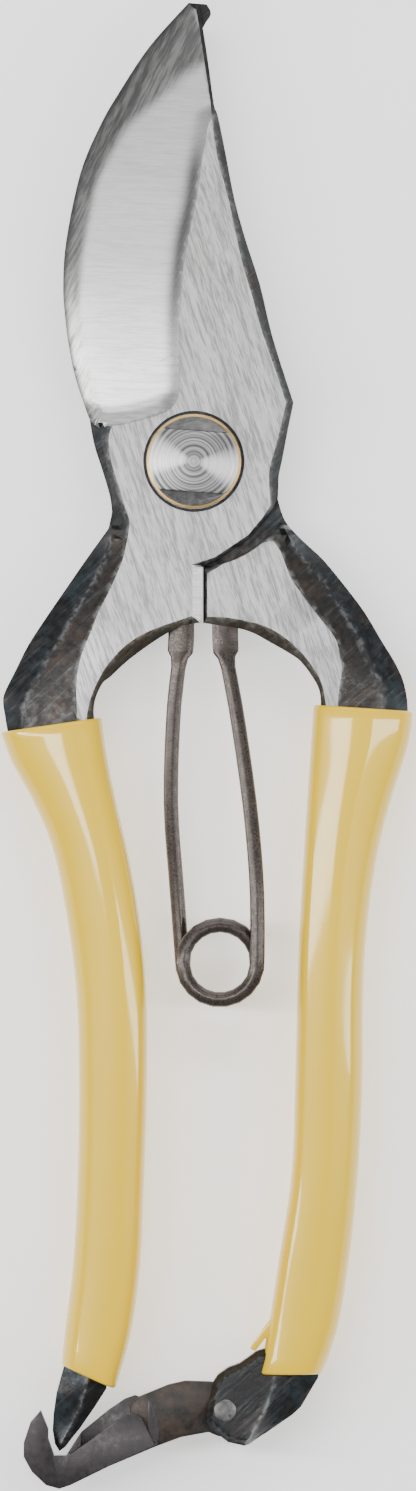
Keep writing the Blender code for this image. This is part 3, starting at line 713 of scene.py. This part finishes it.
def bandShare(x, y):
    # the strip beside the cutting edge, all of the blade's width at the tip: real scratches under a painted reflection
    # of the edge bevel, dark towards the tip, a painted highlight towards the heel
    if y < 4 or not (insideOutline(bladeHollow, x, y) or nearestOn(bladeEdge, x, y) < 0.05):
        return 0.0
    wide = 2.6 + 0.7 * smoothStep(36, 44, y) + 3.2 * smoothStep(43, 53, y) + 5 * smoothStep(52, 58, y)
    wide -= 0.5 * smoothStep(16, 8, y) + 0.4 * (1 - smoothStep(18, 30, y))
    return 1 - smoothStep(wide * 0.72, wide * 1.22, nearestOn(bladeEdge, x, y))


def hollowShare(x, y):
    # the stop strip takes the hollow's colours, so the painted highlight of the hollow's lower end lies on it too
    if insideOutline(bladeStrip, x, y):
        return 1.0
    return 1.0 if insideOutline(bladeHollow, x, y) and nearestOn(bladeRidge, x, y) > 0.05 else 0.0


def ridgeShadow(x, y):
    if not hollowShare(x, y) or x < -6:
        return 0.0
    # painted shade over the stop strip
    if y < 0:
        return 0.3
    away = nearestOn([p for p in bladeRidge if p[1] > 7.5], x, y)
    return math.exp(-((away - 0.9) / 1.1) ** 2) * (1 - smoothStep(38, 46, y)) * (0.55 + 0.45 * smoothStep(10, 26, y))


def facetShare(x, y, facet, run):
    if y > -9:
        return 0.55
    return 1.0 if insideOutline(facet, x, y) or nearestOn(run, x, y) < 0.02 else 0.0


def wornShare(x, y, flat, run):
    away = min(nearestOn(flat + flat[:1], x, y), 0.2 + nearestOn(run, x, y))
    return math.exp(-(away / 0.25) ** 2)


bladeArm = forging("bladeForging", {
    "outer": bladeOuter, "flat": bladeFlat,
    "circles": [arms["bore"], arms["groove"][0], arms["groove"][0] + 0.06, arms["groove"][1] - 0.06, arms["groove"][1],
                arms["sweep"], arms["sweep"] + 0.08],
    "ridges": [smoothRun(blade["flatTip"], 2), bladeRim, bladeFacetRun, [(-0.3, -13.9), (-0.3, -20.8)]],
    "gridStep": arms["grid"], "gridBox": (-27, -41, 15, 62),
    "gridInside": lambda x, y: insideOutline(bladeOuter, x, y) and not insideOutline(bladeFlat, x, y),
    "bore": arms["bore"], "front": bladeTop, "rear": bladeRear, "kind": bladeKind, "wallKind": 1,
    # rim marks the painted shade along the cutting edge
    "marks": {"rim": lambda x, y: (1 - smoothStep(0.3, 0.7, nearestOn(bladeEdge, x, y))) if y > 5.6 else 0.0, "band": bandShare, "hollow": hollowShare, "ridge": ridgeShadow,
              "facet": lambda x, y: facetShare(x, y, bladeFacet, bladeFacetRun),
              "worn": lambda x, y: wornShare(x, y, bladeFlat, bladeFacetRun)}, "sharp": arms["sharp"],
}, [finishes["ground"], finishes["forged"]])
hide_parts("blade_arm")
print("blade arm made", len(bladeArm.data.polygons))


# the hook arm, behind, with its nub past the blade's tip
hook = {
    "back": [(-0.7, 61.8), (-4.2, 55.6), (-8.2, 49.6), (-12.1, 42.2), (-15.0, 33.2), (-16.1, 23.6), (-15.5, 15.4),
             (-14.3, 7.4), (-13.5, 2.6), (-12.6, -0.3), (-11.7, -3.2), (-11.2, -5.2), (-11.0, -7.2)],
    "lower": [(-9.0, -9.4), (-6.0, -11.8), (-2.8, -13.4), (1.25, -14.1)],
    "arch": [(1.25, -21.7), (5.9, -22.4), (8.1, -23.1), (10.1, -24.2), (12.9, -25.8), (14.4, -26.9), (16, -29),
             (16.9, -30.8), (17.1, -33), (16.8, -36), (16.5, -40)],
    "shoulder": [(27.0, -40), (28.3, -36.5), (28.8, -33.3), (28.3, -29.9), (27.1, -27.1), (25.2, -24), (23, -20.3),
                 (20.3, -16.7), (17.5, -13.3), (15.7, -11.6), (13.8, -9.8), (12.2, -7.8), (11.3, -5.1)],
    "throat": [(11.5, 0.0), (12.3, 4.6)],
    "mouth": [(9.0, 8.6), (2.0, 10.4), (-4.0, 12.4), (-7.4, 17.0), (-8.6, 24.0), (-7.6, 32.0), (-5.2, 40.0),
              (-2.4, 47.0), (0.0, 53.5), (1.2, 58.4), (2.3, 60.3), (1.7, 61.6)],
    "flatTop": [(1.8, -15.1)] + arcRun(0, 0, 14.35, -74, -50, 8) + [(10.1, -10.75), (10.7, -10.8)],
    "flatRight": [(10.7, -10.8), (11.7, -12.2), (12.9, -15.4), (14.4, -17.7), (16, -19.9), (18, -22.4), (19.1, -24),
                  (19.6, -26.1), (19.9, -27.9), (19.6, -30.2), (19.3, -33), (19.2, -39.5)],
    "flatArch": [(18.0, -39.5), (18.0, -35), (17.7, -32.4), (17.2, -29.9), (16.3, -28.1), (14.9, -26.2), (12.9, -24.2),
                 (10.7, -22.7), (8.5, -21.8), (4.6, -21.0), (1.8, -20.9)],
    "facet": [(13.4, -11.4), (17.5, -16.6), (21.0, -21.8), (23.6, -26.6), (25.2, -31), (25.0, -35), (24.2, -39.8)],
}
hookBack, hookArch = smoothRun(hook["back"], 3), smoothRun(hook["arch"], 3)
hookShoulder, hookMouth = smoothRun(hook["shoulder"], 3), smoothRun(hook["mouth"], 3)
hookOuter = hookBack + hook["lower"] + hookArch + hookShoulder + hook["throat"] + hookMouth
hookFlat = hook["flatTop"][:-1] + smoothRun(hook["flatRight"], 2) + smoothRun(hook["flatArch"], 2)
hookFacetRun = smoothRun(hook["facet"], 2)
hookFacet = hookFacetRun + hookShoulder[:hookShoulder.index((12.2, -7.8))]
thinFlat = [(x * 0.91 + 0.2, y * 0.985) for x, y in hook["back"][1:-1]] + [(-9.5, -7.4), (-5.8, -10.4), (-2.4, -12), (1.5, -12.6)]
thinFlat += [(9.6, -8.2), (10.2, 0), (10.2, 6.8), (8.2, 7.4), (0.8, 9.6), (-5.6, 12.2), (-8.9, 17), (-10.1, 24), (-9.1, 32), (-6.7, 40),
             (-3.7, 47.6), (-1.2, 54.6)]


def hookFall(x, y):
    if fullThick(x, y):
        if insideOutline(hookFlat, x, y) or nearestOn(hookFlat + hookFlat[:1], x, y) < 1e-3:
            return 0.0
        return chamfer(x, y, hookOuter, hookFlat, True, hookFacetRun, hookFacet)
    if insideOutline(thinFlat, x, y):
        return 0.0
    toFlat, toOuter = nearestOn(thinFlat + thinFlat[:1], x, y), nearestOn(hookOuter + hookOuter[:1], x, y)
    return arms["thinDrop"] * toFlat / max(toFlat + toOuter, 1e-6)


def hookFront(x, y):
    if not fullThick(x, y):
        return hookTopZ
    return tucked(lambda a, b: frontZ - hookFall(a, b), x, y, -32.7 - 0.9 * (x - 16.1) / 13.4)


def hookRear(x, y):
    return arms["mirror"] - hookFront(x, y) if fullThick(x, y) else rearZ + hookFall(x, y)


def hookKind(x, y):
    if fullThick(x, y):
        kind = 0 if insideOutline(hookFlat, x, y) else 1
        return kind, kind
    # painted shadow under the blade: the half-thick front face is a ground face, but outside the bore ring and the
    # mouth between y 8.5 and 57.5 it takes the dark forged finish
    return (0 if math.hypot(x, y) < 10.2 or 8.5 < y < 57.5 else 1), (0 if insideOutline(thinFlat, x, y) else 1)


hookArm = forging("hookForging", {
    "outer": hookOuter, "flat": hookFlat,
    "circles": [arms["bore"], 10.2, arms["sweep"], arms["sweep"] + 0.08],
    "ridges": [hookFacetRun, thinFlat + thinFlat[:1], [(-18, 8.5), (16, 8.5)], [(-6, 57.5), (4, 57.5)]],
    "gridStep": 0.8, "gridBox": (-27, -41, 30, 62),
    "gridInside": lambda x, y: insideOutline(hookOuter, x, y) and y < -8 and not insideOutline(hookFlat, x, y),
    "bore": arms["bore"], "front": hookFront, "rear": hookRear, "kind": hookKind, "wallKind": 1,
    # painted shade: above y -9 the hook's forged faces lean to the darker outer tone
    "marks": {"facet": lambda x, y: facetShare(x, y, hookFacet, hookFacetRun) if y < -9 else 0.8,
              "worn": lambda x, y: wornShare(x, y, hookFlat, hookFacetRun) if fullThick(x, y) else 0.0},
    "sharp": arms["sharp"],
}, [finishes["ground"], finishes["forged"]])
print("hook arm made", len(hookArm.data.polygons))

seat = {"y": -19.9, "left": -1.7, "right": 4.2, "radius": 2.15, "half": 0.95, "long": 5.0, "lean": 2.9}
for arm, x, lean in ((bladeArm, seat["left"], 1), (hookArm, seat["right"], -1)):
    # the socket is wider on the side that the paddle leans to as the tool opens
    reach = seat["radius"]
    right, left = (seat["lean"], 0.2) if lean > 0 else (0.2, seat["lean"])
    socket = arcRun(x, seat["y"], reach, 180, 0, 12)
    socket += [(x + reach + right, seat["y"] - seat["long"]), (x - reach - left, seat["y"] - seat["long"])]
    combine(arm, extruded("socket", socket, middle - seat["half"], middle + seat["half"]))
    shadeByAngle(arm, arms["sharp"])


# the right handle's lower end, slotted for the link, and the left handle's tang
ends = {
    "outline": [(17.6, -119.0), (16.7, -123.3), (14.4, -127.2), (13.2, -128.3), (7.7, -132.1), (6.8, -132.4), (4.6, -131.9),
                (2.3, -130.1), (1.7, -129.2), (2.0, -126.4), (2.5, -124.0), (3.2, -122.9), (4.6, -121.9), (6.2, -121.3), (8.3, -119.8), (10.4, -119.0), (12.0, -117.5)],
    "ridge": [(11.2, -121.0), (10.6, -124.8), (9.7, -127.4), (8.7, -129.1), (7.4, -131.4)],
    "low": 4.0, "high": 11.0, "fall": 2.3, "leftFall": 0.9,
}
endOutline = ends["outline"]


def endFront(x, y):
    across = x - acrossAt(ends["ridge"], y)
    wide = nearestOn(endOutline + endOutline[:1], x, y)
    toRidge = nearestOn(ends["ridge"], x, y)
    share = toRidge / max(toRidge + wide, 1e-6)
    if across > 0:
        return ends["high"] - ends["fall"] * share
    return ends["high"] - ends["leftFall"] * smoothStep(0.9, 0.0, wide) * min(share * 1.3, 1)


handleEnd = forging("handleEnd", {
    "outer": endOutline, "flat": [(9.0, -121.0), (9.3, -121.0), (9.3, -121.4)], "circles": [], "ridges": [ends["ridge"]],
    "gridStep": 0.45, "gridBox": (1, -133, 18, -117), "gridInside": lambda x, y: insideOutline(endOutline, x, y),
    "bore": -1, "front": endFront, "rear": lambda x, y: arms["mirror"] - endFront(x, y),
    "kind": lambda x, y: (1, 1), "wallKind": 1, "sharp": 20,
    "marks": {"facet": lambda x, y: 1.0 if x > acrossAt(ends["ridge"], y) + 0.1 else 0.45,
              "worn": lambda x, y: math.exp(-(nearestOn(ends["ridge"], x, y) / 0.22) ** 2)},
}, [finishes["ground"], finishes["forged"]])
slot = [(-2, -119.5), (-2, -136), (9.4, -136), (9.4, -119.5)]
combine(handleEnd, extruded("slot", slot, middle - 1.25, middle + 1.25))
shadeByAngle(handleEnd, 20)

tang = {
    "outline": [(-15.9, -115.0), (-17.3, -121.0), (-18.5, -125.4), (-18.9, -128.2), (-19.0, -130.4), (-18.7, -132.2), (-18.1, -133.2),
                (-17.3, -132.6), (-16.4, -131.4), (-15.4, -130.2), (-13.4, -127.3), (-11.8, -124.8), (-10.0, -115.0)],
    "ridge": [(-14.1, -116.0), (-14.2, -123.2), (-15.4, -127.3), (-16.6, -129.9), (-17.8, -132.0)],
    "high": 3.1, "edge": 1.5, "narrow": 1.35,
}


def tangFront(x, y):
    toRidge, toRim = nearestOn(tang["ridge"], x, y), nearestOn(tang["outline"] + tang["outline"][:1], x, y)
    high = tang["high"] - (tang["high"] - tang["narrow"]) * smoothStep(-123.5, -130.5, y) if y < -123.5 else tang["high"]
    edge = min(tang["edge"], high * 0.55)
    return middle + high - (high - edge) * toRidge / max(toRidge + toRim, 1e-6)


leftTang = forging("leftTang", {
    "outer": tang["outline"], "flat": [(-14.6, -117.0), (-14.4, -117.0), (-14.4, -117.2)], "circles": [], "ridges": [tang["ridge"]],
    "gridStep": 0.5, "gridBox": (-20, -134, -9, -115), "gridInside": lambda x, y: insideOutline(tang["outline"], x, y),
    "bore": -1, "front": tangFront, "rear": lambda x, y: arms["mirror"] - tangFront(x, y),
    "kind": lambda x, y: (1, 1), "wallKind": 1, "sharp": 24,
    "marks": {"facet": lambda x, y: 1.0 if x < acrossAt(tang["ridge"], y) else 0.6,
              "worn": lambda x, y: math.exp(-(nearestOn(tang["ridge"], x, y) / 0.2) ** 2)},
}, [finishes["ground"], finishes["forged"]])
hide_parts("hook_arm")
print("handle ends made")


# the dipped grips
grip = {
    "leftOuter": [(-26.0, -36.4), (-24.5, -40.5), (-21.6, -45.8), (-18.9, -52.5), (-17.0, -62.0), (-15.8, -72.0),
                  (-15.5, -84.0), (-15.7, -97.0), (-16.3, -108.0), (-17.3, -116.5), (-17.9, -121.5)],
    "leftInner": [(-12.4, -34.4), (-11.7, -39.5), (-10.4, -46.0), (-8.7, -53.5), (-7.2, -62.5), (-6.4, -72.0),
                  (-6.3, -84.0), (-6.7, -97.0), (-7.2, -108.0), (-8.5, -117.5), (-10.6, -124.8)],
    "rightInner": [(16.1, -32.7), (15.7, -38.5), (15.2, -46.0), (14.7, -54.0), (14.2, -63.0), (13.9, -72.0),
                   (13.6, -84.0), (13.1, -96.0), (11.4, -107.5), (10.0, -116.5), (8.7, -122.8)],
    "rightOuter": [(29.5, -33.6), (28.9, -38.0), (26.3, -46.4), (24.5, -54.0), (23.3, -63.0), (22.8, -72.0),
                   (22.7, -84.0), (22.1, -96.0), (20.9, -107.5), (19.4, -116.5), (17.3, -122.8)],
    "deep": 5.0, "steps": 5, "sides": 48, "roll": 0.36,
}


def gripRings(outer, inner, outerLeft):
    left, right = smoothRun(outer, grip["steps"]), smoothRun(inner, grip["steps"])
    if not outerLeft:
        left, right = right, left
    count = len(left)

    def ring(a, b, shrink, along, deepLess):
        ax, ay, bx, by = a[0], a[1], b[0], b[1]
        length = math.hypot(bx - ax, by - ay)
        ux, uy = (bx - ax) / length, (by - ay) / length
        made = []
        for i in range(grip["sides"]):
            t = 2 * math.pi * i / grip["sides"]
            c, s = math.cos(t), math.sin(t)
            outside = (c < 0) == outerLeft
            power = 0.90 if outside else 0.55
            across = (length / 2 - shrink) * math.copysign(abs(c) ** power, c)
            z = middle + (grip["deep"] - deepLess) * math.copysign(abs(s) ** (0.80 if outside else 0.62), s)
            x, y = (ax + bx) / 2 + ux * across, (ay + by) / 2 + uy * across
            made.append((x - uy * along, y + ux * along, z))
        return made

    r = grip["roll"]
    rings = [ring(left[0], right[0], 2 * r, -1.8, 2 * r)]
    for i in range(7):
        a = math.radians(180 - 30 * i)
        rings.append(ring(left[0], right[0], r * (1 - math.cos(a)), r * math.sin(a) - r, r * (1 - math.cos(a))))
    for i in range(2, count - 2):
        rings.append(ring(left[i], right[i], 0, 0, 0))
    for i in range(7):
        a = math.radians(30 * i)
        rings.append(ring(left[-1], right[-1], r * (1 - math.cos(a)), r - r * math.sin(a), r * (1 - math.cos(a))))
    rings.append(ring(left[-1], right[-1], 2 * r, 1.8, 2 * r))
    return rings


leftGrip = sculptTube("leftGrip", gripRings(grip["leftOuter"], grip["leftInner"], True), finishes["vinyl"], 50)
rightGrip = sculptTube("rightGrip", gripRings(grip["rightOuter"], grip["rightInner"], False), finishes["vinyl"], 50)
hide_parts("left_grip")
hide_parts("right_grip")
flap = [(11.6, -113.6), (10.1, -115.6), (7.5, -119.3), (8.2, -119.7), (9.7, -117.8), (11.4, -119.6)]
gripFlap = bevelled(extruded("gripFlap", flap, middle - 2.4, middle + 2.4, finishes["vinyl"]), 0.25, 2, 35, 40)
print("grips made")


# the pivot's bolt, washers and nut
pivot = {"head": 6.0, "flats": 8.2, "flatDeep": 0.8, "turn": -4.0, "shank": 4.0, "nut": 6.6}
bolt = roundBar("bolt", 0, 0, pivot["head"], boltHigh.z / mm - 1.8, boltHigh.z / mm, 96, finishes["turned"])
for side in (1, -1):
    near, far = side * pivot["flats"] / 2, side * 8
    block = [(-8, near), (8, near), (8, far), (-8, far)]
    turned = math.radians(pivot["turn"])
    block = [(x * math.cos(turned) - y * math.sin(turned), x * math.sin(turned) + y * math.cos(turned)) for x, y in block]
    combine(bolt, extruded("flat", block, boltHigh.z / mm - pivot["flatDeep"], 20))
bevelled(bolt, 0.16, 2, 40, 40)
bolt.data.materials.append(finishes["milled"])
for face in bolt.data.polygons:
    if abs(face.center.y) > (pivot["flats"] / 2 - 0.2) * mm and face.center.z < boltHigh.z - 0.3 * mm:
        face.material_index = 1
shank = roundBar("shank", 0, 0, pivot["shank"], 0, boltHigh.z / mm - 1.4, 64, finishes["turned"])
bevelled(shank, 0.3, 2, 40, 40)
combine(bolt, shank, "UNION")
shadeByAngle(bolt, 40)
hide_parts("pivot_bolt")
brassRing = roundBar("brassRing", 0, 0, 6.35, washerLow.z / mm, washerHigh.z / mm, 96, finishes["brass"])
combine(brassRing, roundBar("hole", 0, 0, 4.3, 0, 20, 64))
bevelled(brassRing, 0.12, 2, 40, 40)
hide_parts("brass_washer")
rearLow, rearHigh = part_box("rear_washer")
rearRing = roundBar("rearRing", 0, 0, pivot["nut"], rearLow.z / mm, rearHigh.z / mm, 96, finishes["bronzed"])
combine(rearRing, roundBar("hole", 0, 0, 4.3, 0, 20, 64))
bevelled(rearRing, 0.12, 2, 40, 40)
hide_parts("rear_washer")
nutLow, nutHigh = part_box("pivot_nut")
nut = roundBar("nut", 0, 0, pivot["nut"], nutLow.z / mm, nutHigh.z / mm, 6, finishes["blacked"])
combine(nut, roundBar("hole", 0, 0, 4.3, -2, 20, 64))
bevelled(nut, 0.45, 2, 40, 40)
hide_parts("pivot_nut")
print("pivot made")


# the spring, one wire from paddle to paddle
wire = {
    "radius": 1.05, "coil": (3.5, -67.4), "mean": 5.05, "turns": 2.5, "pitch": 2.25, "sides": 18,
    "paddleHalf": 1.8, "paddleThin": 0.65,
}


def coilPoint(turns):
    angle = -2 * math.pi * turns
    x, y = wire["coil"]
    return (x + wire["mean"] * math.cos(angle), y + wire["mean"] * math.sin(angle),
            middle + wire["pitch"] * (wire["turns"] / 2 - turns))


def wireRings():
    front, rear = coilPoint(0), coilPoint(wire["turns"])
    rightLeg = smoothRun([(4.2, -18.3, middle), (4.2, -20.2, middle), (4.2, -22.5, middle), (4.25, -24.6, middle), (4.5, -27.0, middle + 0.1),
                          (5.8, -34.1, middle + 0.6), (7.5, -46.0, middle + 1.5), (8.45, -57.0, front[2] - 0.2), front], 7)[:-1]
    coil = [coilPoint(wire["turns"] * i / 100) for i in range(101)]
    leftLeg = smoothRun([rear, (-2.35, -57.0, rear[2] + 0.2), (-3.1, -46.0, middle - 1.5), (-2.75, -34.1, middle - 0.6),
                         (-2.0, -27.0, middle - 0.1), (-1.75, -24.6, middle), (-1.7, -22.5, middle), (-1.7, -20.2, middle),
                         (-1.7, -18.3, middle)], 7)[1:]
    path = rightLeg + coil + leftLeg
    rings = []
    for i, point in enumerate(path):
        before, after = Vector(path[max(i - 1, 0)]), Vector(path[min(i + 1, len(path) - 1)])
        along = (after - before).normalized()
        side = along.cross(Vector((0, 0, 1))).normalized()
        up = side.cross(along).normalized()
        y = point[1]
        flat = smoothStep(-26.9, -25.4, y)
        half = wire["radius"] + (wire["paddleHalf"] - wire["radius"]) * flat
        thin = wire["radius"] + (wire["paddleThin"] - wire["radius"]) * flat
        half *= math.sqrt(max(1 - max((y + 19.9) / 1.85, 0) ** 2, 0.04))
        power = 1 - 0.45 * flat
        ring = []
        for k in range(wire["sides"]):
            t = 2 * math.pi * k / wire["sides"]
            c, s = math.cos(t), math.sin(t)
            ring.append(tuple(Vector(point) + side * half * math.copysign(abs(c) ** power, c)
                              + up * thin * math.copysign(abs(s) ** power, s)))
        rings.append(ring)
    return rings


spring = sculptTube("springWire", wireRings(), finishes["bronzed"], 50)
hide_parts("spring_coil_leg", "spring_left_leg")
print("spring made")


# the catch: a folded cup for the tang, and a link to the rivet
cup = {
    "body": [(-20.6, -127.7), (-22.0, -129.3), (-22.9, -132.0), (-22.9, -133.9), (-21.8, -135.9), (-19.9, -137.7), (-18.1, -138.2),
             (-16.6, -137.7), (-11.5, -135.2), (-4.9, -132.4), (-4.6, -130.0), (-5.6, -126.6), (-7.9, -125.7), (-9.3, -126.2),
             (-11.5, -127.7), (-15.2, -130.7), (-17.2, -133.8), (-18.8, -133.8), (-19.6, -131.5), (-19.6, -130.2)],
    "channel": [(-15.2, -124.0), (-15.2, -132.6), (-11.0, -133.9), (-6.2, -131.9), (-6.2, -124.0)],
    "lip": [(-16.6, -133.5), (-13.7, -131.5), (-10.2, -128.8), (-8.3, -127.9), (-7.1, -128.5), (-5.3, -132.2), (-3, -130), (-3, -122), (-14, -122), (-18, -132)],
    "link": [(-8.6, -133.0), (-5.2, -132.6), (-1.7, -131.3), (2.1, -130.6)] + arcRun(4.2, -127.6, 3.7, -120, 100, 14)
            + [(2.1, -123.8), (-1.2, -123.7), (-3.4, -124.2), (-7.3, -125.8), (-8.6, -127)],
    "wall": 0.9, "linkThick": 1.9,
}
low, high = catchLow.z / mm, catchHigh.z / mm
catch = extruded("catchCup", cup["body"], low, high, finishes["blacked"])
combine(catch, extruded("channel", cup["channel"], low + cup["wall"], high - cup["wall"]))
combine(catch, extruded("lip", cup["lip"], high - cup["wall"] - 0.6, high + 1))
bevelled(catch, 0.32, 3, 35, 40)
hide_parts("catch")
link_ = extruded("catchLink", cup["link"], middle - cup["linkThick"] / 2, middle + cup["linkThick"] / 2, finishes["link"])
combine(link_, roundBar("hole", 4.2, -127.6, 1.8, 0, 20, 48))
bevelled(link_, 0.22, 2, 35, 40)
rivet = roundBar("rivet", 4.2, -127.6, 1.54, rivetLow.z / mm, rivetHigh.z / mm + 0.15, 48, finishes["rivet"])
bevelled(rivet, 0.22, 3, 40, 40)
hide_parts("catch_rivet")
print("catch made")

slots = (
    (bladeArm, "blade_side", "ground_steel"), (hookArm, "hook_side", "ground_steel"), (handleEnd, "hook_side", "forged_steel"),
    (leftTang, "blade_side", "forged_steel"), (leftGrip, "blade_side", "vinyl"), (rightGrip, "hook_side", "vinyl"), (gripFlap, "hook_side", "vinyl"),
    (bolt, "hook_side", "ground_steel"), (brassRing, "hook_side", "brass"), (rearRing, "hook_side", "bronzed_wire"),
    (nut, "hook_side", "blacked_steel"), (catch, "catch_swing", "blacked_steel"), (link_, "catch_swing", "blacked_steel"),
    (rivet, "hook_side", "ground_steel"),
)
for piece, body, slotName in slots:
    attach(piece, body)
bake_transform(spring)
print("pieces on their bodies")


# floor, light and camera
view = {"distance": 2.5, "share": 1491 / 1489.3, "floorGap": 0.0004}
centre = (cadLow + cadHigh) / 2
deselect()
bpy.ops.mesh.primitive_plane_add(size=6, location=(centre.x, centre.y, cadLow.z - view["floorGap"]))
floor = bpy.context.object
floor.name = "floor"
bpy.ops.object.transform_apply(location=True, rotation=True, scale=True)
paper, paperTree, paperShader = newFinish("paleFloor", 0.0, 0.8)
grain = placeGroup(paperTree, mottle, Size=40.0, Low=0.3, High=0.7)
link(paperTree, mixColour(paperTree, grain.outputs[0], (0.90, 0.90, 0.90, 1), (0.93, 0.93, 0.93, 1)), paperShader.inputs["Base Color"])
paperShader.inputs["Emission Color"].default_value = (1, 1, 1, 1)
paperShader.inputs["Emission Strength"].default_value = 0.7
floor.data.materials.append(paper)

world = bpy.data.worlds.new("softWorld")
bpy.context.scene.world = world
world.use_nodes = True
world.node_tree.nodes["Background"].inputs[0].default_value = (1, 1, 1, 1)
world.node_tree.nodes["Background"].inputs[1].default_value = 0.42

lamps = (
    ("softLeft", (-0.26, 0.0, 0.42), (0.045, 0.60), 2.3),
    ("softRight", (0.34, -0.03, 0.38), (0.035, 0.55), 1.3),
    ("softTop", (0.02, 0.40, 0.50), (0.50, 0.12), 1.5),
)
for name, place, size, power in lamps:
    deselect()
    bpy.ops.object.light_add(type="AREA", location=(centre.x + place[0], centre.y + place[1], place[2]))
    lamp = bpy.context.object
    lamp.name = name
    lamp.data.shape, lamp.data.size, lamp.data.size_y, lamp.data.energy = "RECTANGLE", size[0], size[1], power
    lamp.rotation_euler = (centre - lamp.location).to_track_quat("-Z", "Y").to_euler()

deselect()
bpy.ops.object.camera_add(location=(centre.x, centre.y, cadHigh.z + view["distance"]), rotation=(0, 0, 0))
camera = bpy.context.object
tall = (cadHigh.y - cadLow.y) * view["share"]
camera.data.sensor_fit = "VERTICAL"
camera.data.sensor_height = 36
camera.data.lens = 36 * view["distance"] / tall
bpy.context.scene.camera = camera
print("stage set")
